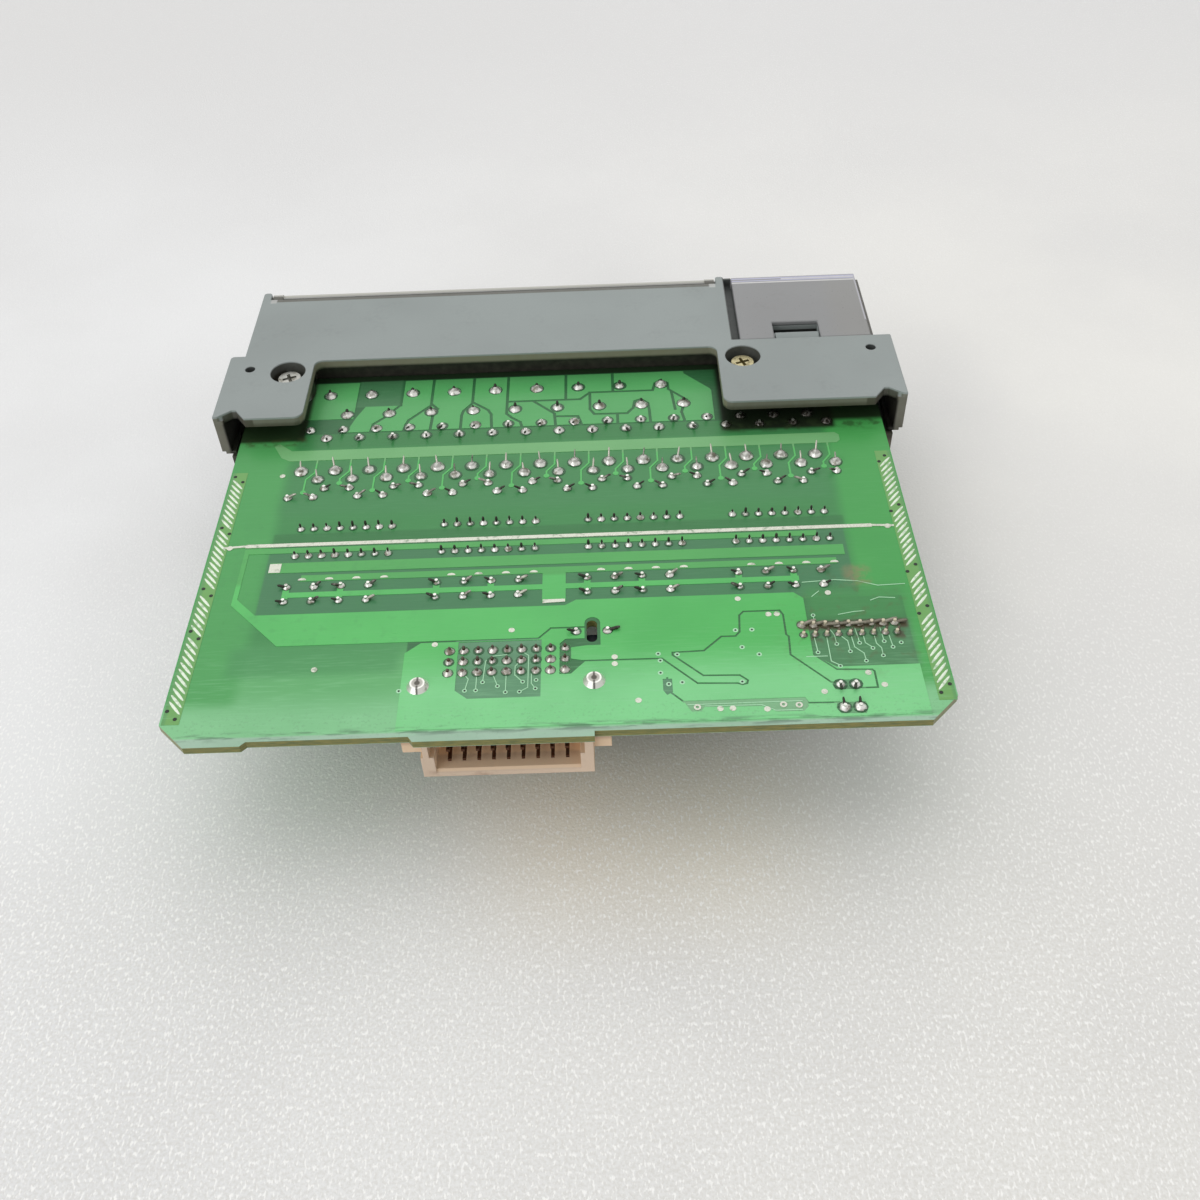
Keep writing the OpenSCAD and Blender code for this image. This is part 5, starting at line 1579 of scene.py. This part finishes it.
    def _field_side(self, e: Etching) -> None:
        """Paints the half that runs to the terminal header."""
        e.area(self.upper_band)
        for outline in self.upper_pours:
            e.area(outline)
        for line in self.upper_gaps:
            e.track(line, self.wide_gap, keep=False)
        e.bar(6.1, 15.6, 39.0, 48.0, keep=False)
        for i in range(self.channels):
            x = 0.3 + i * self.channel_pitch
            down = 11.0 if i % 2 == 0 else 13.6
            end = x - self.jog
            e.track([(x, 21.0), (x, 17.2), (end, 15.0), (end, down)], self.branch)
            e.disc(end, down, self.branch_end)


@dataclass
class Tinning:
    """Where the copper is left free of mask and tinned."""

    bar_y: tuple[float, float] = (-4.9, -4.0)
    thickness: float = 0.13
    pads: tuple[Point, ...] = (
        (60.2, -36.0), (60.2, -37.6), (82.8, -22.9), (87.9, -27.0), (89.4, -27.0), (64.0, -46.0),
        (95.4, -45.4), (103.4, -41.5), (105.7, -44.3), (99.2, -22.1), (42.0, -28.8),
        (28.5, -31.7), (7.8, -36.7), (-6.2, 16.3), (77.6, -48.4), (79.7, -48.4), (85.4, -48.8),
    )  # fmt: skip
    ring_pads: tuple[Point, ...] = ((73.8, -47.9), (88.2, -47.9), (90.8, -48.1))
    moons: tuple[float, ...] = (2.3, 7.4, 12.5, 17.7)
    pad: float = 0.56
    ring: Span = (0.62, 0.3)
    ends: Span = (-10.0, 110.0)

    @staticmethod
    def _moon(x: float, y: float, radius: float = 0.78) -> Outline:
        """The upper half of a pad that the mask covers below y."""
        turns = [math.pi * i / 8 for i in range(9)]
        return [(x + radius * math.cos(a), y + radius * 0.75 * math.sin(a)) for a in turns]

    def build(self, copper: Copper, tin: bpy.types.Material) -> None:
        """Makes the tinned bar, the half-moons, the test pads and the ring vias."""
        e = Etching()
        e.bar(*self.ends, *self.bar_y)
        for side, end in zip((-1, 1), self.ends):
            e.track([(end, -4.4), (end + side * 4.0, -4.7)], 0.5)
            e.disc(end + side * 3.0, -4.8, 0.6)
        e.bar(-4.4, -2.2, -12.0, -9.6)
        e.area([(47.4, -21.4), (51.5, -21.4), (51.5, -22.1), (47.4, -22.3)])
        for group in range(copper.groups):
            for x in self.moons:
                e.area(self._moon(x + group * copper.group_pitch, -14.25))
        for x, y in self.pads:
            e.disc(x, y, self.pad)
        for x, y in self.ring_pads:
            e.ring(x, y, *self.ring)
        e.lay("tinned_pads", self.thickness, tin)


class Side(Enum):
    """The two short sides of the board, by the direction of x."""

    LEFT = -1
    RIGHT = 1


@dataclass
class EdgeStrips:
    """The tinned hatching along the two edges that run in the rack's card guides."""

    pitch: float = 1.5
    slash: float = 4.3
    width: float = 0.6
    lean: float = 51.0
    height: float = 0.15
    clear: float = 1.05
    margin: float = 1.2
    strip_top: float = 0.05
    slash_foot: float = 0.03
    hole: float = 0.36
    via_hole: float = 0.2
    hole_top: float = 0.095
    levels: tuple[float, float] = (-46.8, 16.6)
    spans: dict[Side, tuple[float, float]] = field(
        default_factory=lambda: {Side.LEFT: (-16.55, -13.5), Side.RIGHT: (114.2, 117.25)}
    )
    holes: dict[Side, tuple[Point, ...]] = field(
        default_factory=lambda: {
            Side.LEFT: ((-15.9, 16.6), (-14.1, 14.9), (-15.7, 1.2), (-13.9, -0.6), (-15.9, -15.6),
                        (-14.1, -17.5), (-16.0, -26.4), (-14.2, -28.3), (-16.1, -45.0),
                        (-14.4, -46.8)),
            Side.RIGHT: ((116.0, 16.2), (114.6, 14.4), (116.2, 1.2), (114.4, -0.6),
                         (116.3, -15.5), (114.5, -17.3), (116.4, -26.2), (114.6, -28.0),
                         (116.6, -44.6), (114.8, -46.4)),
        }
    )

    def build(
        self,
        mask: bpy.types.Material,
        tin: bpy.types.Material,
        hollow: bpy.types.Material,
        copper: Copper,
    ) -> None:
        """Makes the strips, their slashes and the small holes of the whole side, the holes as dark
        discs of painted shade.
        """
        rule = slash_rule()
        holes = Etching()
        low, high = self.levels
        for side, (x0, x1) in self.spans.items():
            name = side.name.lower()
            strip = Etching()
            strip.bar(x0, x1, low - self.margin, high + self.margin)
            strip.lay(f"{name}_edge_strip", self.strip_top, mask)
            rows = [low + 1.0 + i * self.pitch for i in range(int((high - low) / self.pitch))]
            pairs = self.holes[side]
            bare = [(upper[1] + lower[1]) / 2 for upper, lower in zip(pairs[::2], pairs[1::2])]
            spots = [
                DATUM.place((x0 + x1) / 2, y, self.slash_foot)
                for y in rows
                if min(abs(y - level) for level in bare) > self.clear
            ]
            inputs = {
                "Finish": tin,
                "Length": self.slash * MM,
                "Width": self.width * MM,
                "Height": self.height * MM,
                "Lean": math.radians(self.lean) * side.value,
            }
            start = mesh_of(f"{name}_slash_points", spots, [])
            slashes = baked(start, rule, inputs, smooth=True)
            piece(f"{name}_edge_hatching", slashes, tin)
            for x, y in pairs:
                holes.disc(x, y, self.hole)
        for x, y in (*copper.dark_vias, *copper.connector_vias, *copper.ribbon_vias):
            holes.disc(x, y, self.via_hole)
        holes.lay("via_holes", self.hole_top, hollow)


# Mouldings and fittings


@dataclass
class Fittings:
    """The solid pieces: those with moulded edges are rounded, and all get their finish."""

    roundings: dict[str, float] = field(
        default_factory=lambda: {
            "housing_shell": 0.3,
            "solder_side_cover": 0.3,
            "indicator_window": 0.25,
            "backplane_connector": 0.16,
            "terminal_block": 0.2,
            "terminal_header": 0.15,
        }
    )
    blocks: dict[str, tuple[Block, ...]] = field(
        default_factory=lambda: {
            "solder_side_cover": (
                # two thin slabs that close a slit at the ears; the housing's marks paint them
                # near-black, as painted shade
                Block((-71.4, -69.2), (17.7, 39.1), (24.78, 25.45)),
                Block((69.2, 71.4), (17.7, 39.1), (24.78, 25.45)),
                Block((37.75, 39.45), (63.3, 63.85), (32.3, 34.4)),
            )
        }
    )
    slopes: dict[str, tuple[Slope, ...]] = field(
        default_factory=lambda: {
            "solder_side_cover": (Slope((-66.9, 35.4), 60.6, 61.7, 33.95, 1.15),)
        }
    )

    def build(self, slots: dict[str, str], finishes: dict[str, bpy.types.Material]) -> None:
        """Rounds the mouldings and dresses every node.

        Args:
            slots: the slot of each node.
            finishes: the material of each slot.
        """
        for node, slot in slots.items():
            shape = frame["nodes"][node]
            finish = finishes[slot]
            for place in shape.material_slots:
                place.material = finish
            if not shape.material_slots:
                shape.data.materials.append(finish)
            if node in self.roundings:
                blocks, slopes = self.blocks.get(node, ()), self.slopes.get(node, ())
                mesh = softened(node, self.roundings[node], blocks, slopes)
                piece(f"{node}_moulding", mesh, finish, (node,), shape["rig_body"])


# Stage


@dataclass(frozen=True)
class Lamp:
    """One soft square lamp, in metres and watts."""

    name: str
    place: Triple
    aim: Triple
    size: float
    power: float

    def hang(self) -> None:
        """Puts the lamp in the scene."""
        data = bpy.data.lights.new(self.name, "AREA")
        data.size = self.size
        data.energy = self.power
        lamp = bpy.data.objects.new(self.name, data)
        lamp.location = self.place
        beam = Vector(self.aim) - Vector(self.place)
        lamp.rotation_euler = beam.to_track_quat("-Z", "Y").to_euler()
        bpy.context.scene.collection.objects.link(lamp)


@dataclass
class Studio:
    """A pale foam sheet, soft lamps and the camera."""

    reach: float = 3.0
    floor_left: Colour = (0.86, 0.87, 0.885)
    floor_right: Colour = (0.88, 0.875, 0.85)
    floor_far: Colour = (0.72, 0.72, 0.725)
    across: Span = (-140.0, 140.0)
    away: Span = (40.0, 320.0)
    toward: Span = (40.0, -75.0)
    roughness: float = 0.62
    glint_gloss: float = 0.3
    cell_depth: float = 0.1
    mist: Cloud = Cloud(0.012, 3.0, 0.3, 0.7)
    cells: Cloud = Cloud(1.8, 4.0, 0.35, 0.62)
    glints: Cloud = Cloud(1.0, 4.0, 0.53, 0.66, (2.2, 1.1, 1.0))
    lamps: tuple[Lamp, ...] = (
        Lamp("overhead", (-0.35, 0.45, 1.35), (0.0, 0.02, 0.0), 1.9, 8.9),
        Lamp("front", (-1.0, -1.1, 0.65), (0.0, 0.0, 0.0), 1.2, 7.5),
        Lamp("rear", (0.4, 1.3, 0.55), (0.0, 0.03, 0.03), 0.9, 2.0),
    )
    sky: Colour = (1.0, 0.99, 0.965)
    sky_level: float = 0.59
    sky_seen: float = 0.21
    camera_place: Triple = (0.010609, -0.195533, 0.193967)
    right: Triple = (0.99934, -0.01500, -0.03314)
    up: Triple = (0.03391, 0.71404, 0.69929)
    forward: Triple = (-0.01317, 0.69995, -0.71407)
    lens: float = 38.17
    sensor: float = 36.0
    nearest: float = 0.005

    def build(self) -> None:
        """Makes the floor, the lamps, the world and the camera."""
        self._floor()
        for lamp in self.lamps:
            lamp.hang()
        self._world()
        self._camera()
        bpy.context.scene.view_settings.view_transform = "Standard"

    def _floor(self) -> None:
        """Makes the sheet and its foamed surface, darker towards the camera and far away as
        painted shade, with painted warm light in the module's shadow and painted glints.
        """
        f = Finish("foam_sheet")
        tone = f.mix(f.x.ease(*self.across), self.floor_left, self.floor_right)
        # darker far away, a painted falloff of the light
        tone = f.mix(f.y.ease(*self.away), tone, self.floor_far)
        cell, glint = f.noise(self.cells), f.cloud(self.glints)
        front = f.y.ease(*self.toward)
        near = f.patch((-60.0, 160.0), (-140.0, -50.0), 30.0)
        warm = f.patch((38.0, 92.0), (-70.0, -30.0), 16.0)
        # painted shade towards the camera, painted warm light in the module's shadow, and painted
        # glints
        for share, colour in (
            (f.cloud(self.mist) * 0.5, self.floor_far),
            (front * 0.12, (0.6, 0.6, 0.6)),
            (near * (1.0 - f.cloud(self.cells)) * 0.22, (0.5, 0.47, 0.4)),
            (warm * 0.5, f.mix(cell, (0.78, 0.69, 0.53), (0.98, 0.92, 0.77))),
            (glint * (0.1 + front * 0.7), (1.0, 1.0, 0.99)),
        ):
            tone = f.mix(share, tone, colour)
        finish = f.surface(
            Base_Color=tone,
            Roughness=self.roughness - glint * self.glint_gloss,
            Normal=f.bump(cell, self.cell_depth),
        )
        half = self.reach
        around = ((-1, -1), (1, -1), (1, 1), (-1, 1))
        corners = [Vector((x * half, y * half, 0.0)) for x, y in around]
        mesh = mesh_of("foam_sheet", corners, [(0, 1, 2, 3)])
        mesh.materials.append(finish)
        sheet = bpy.data.objects.new("foam_sheet", mesh)
        bpy.context.scene.collection.objects.link(sheet)

    def _world(self) -> None:
        """Sets an even pale surround."""
        world = bpy.data.worlds.new("surround")
        bpy.context.scene.world = world
        world.use_nodes = True
        nodes = Nodes(world.node_tree)
        nodes.tree.nodes.clear()
        path = nodes.tree.nodes.new("ShaderNodeLightPath")
        camera, glossy, through = (
            Shade(nodes, path.outputs[f"Is {kind} Ray"])
            for kind in ("Camera", "Glossy", "Transmission")
        )
        seen = camera.most(glossy).most(through)
        inputs = {"Color": (*self.sky, 1.0), "Strength": self.sky_level + seen * self.sky_seen}
        sky = nodes.node("ShaderNodeBackground", {}, inputs)
        nodes.node("ShaderNodeOutputWorld", {}, {"Surface": sky}, None)

    def _camera(self) -> None:
        """Sets the camera behind and above the backplane end."""
        data = bpy.data.cameras.new("camera")
        data.lens = self.lens
        data.sensor_width = self.sensor
        data.clip_start = self.nearest
        camera = bpy.data.objects.new("camera", data)
        back = [-c for c in self.forward]
        turn = Matrix((self.right, self.up, back)).transposed()
        camera.matrix_world = Matrix.Translation(self.camera_place) @ turn.to_4x4()
        bpy.context.scene.collection.objects.link(camera)
        bpy.context.scene.camera = camera


def main() -> None:
    """Builds the module's looks and the stage."""
    logging.basicConfig(level=logging.INFO, format="%(message)s")
    finishes = {slot: finish.build() for slot, finish in SLOT_FINISHES.items()}
    slots = {part["node"]: part["material_slot"] for part in frame["record"]["subparts"]}
    copper = Copper()
    tin = Tin("pad_tin", (0.63, 0.65, 0.56), (0.34, 0.42, 0.31), 0.5, 0.35).build()
    slash_tin = Tin("slash_tin", (0.76, 0.86, 0.72), (0.4, 0.57, 0.38), 0.55, 0.15).build()
    Fittings().build(slots, finishes)
    copper.build(COPPER_MASK.build(), THIN_MASK.build())
    Tinning().build(copper, tin)
    # the holes' dark discs: painted shade inside them
    hollow = Moulding("via_hollow", (0.012, 0.02, 0.012), edge=0.02).build()
    EdgeStrips().build(HATCH_MASK.build(), slash_tin, hollow, copper)
    # dark rings round the joints: painted shade
    ring_shade = Lacquer("joint_ring_shade", (0.03, 0.105, 0.045), roughness=0.25).build()
    Joints().build(finishes["solder_grey"], ClippedLead("clipped_lead").build(), ring_shade)
    Studio().build()


if __name__ == "__main__":
    main()
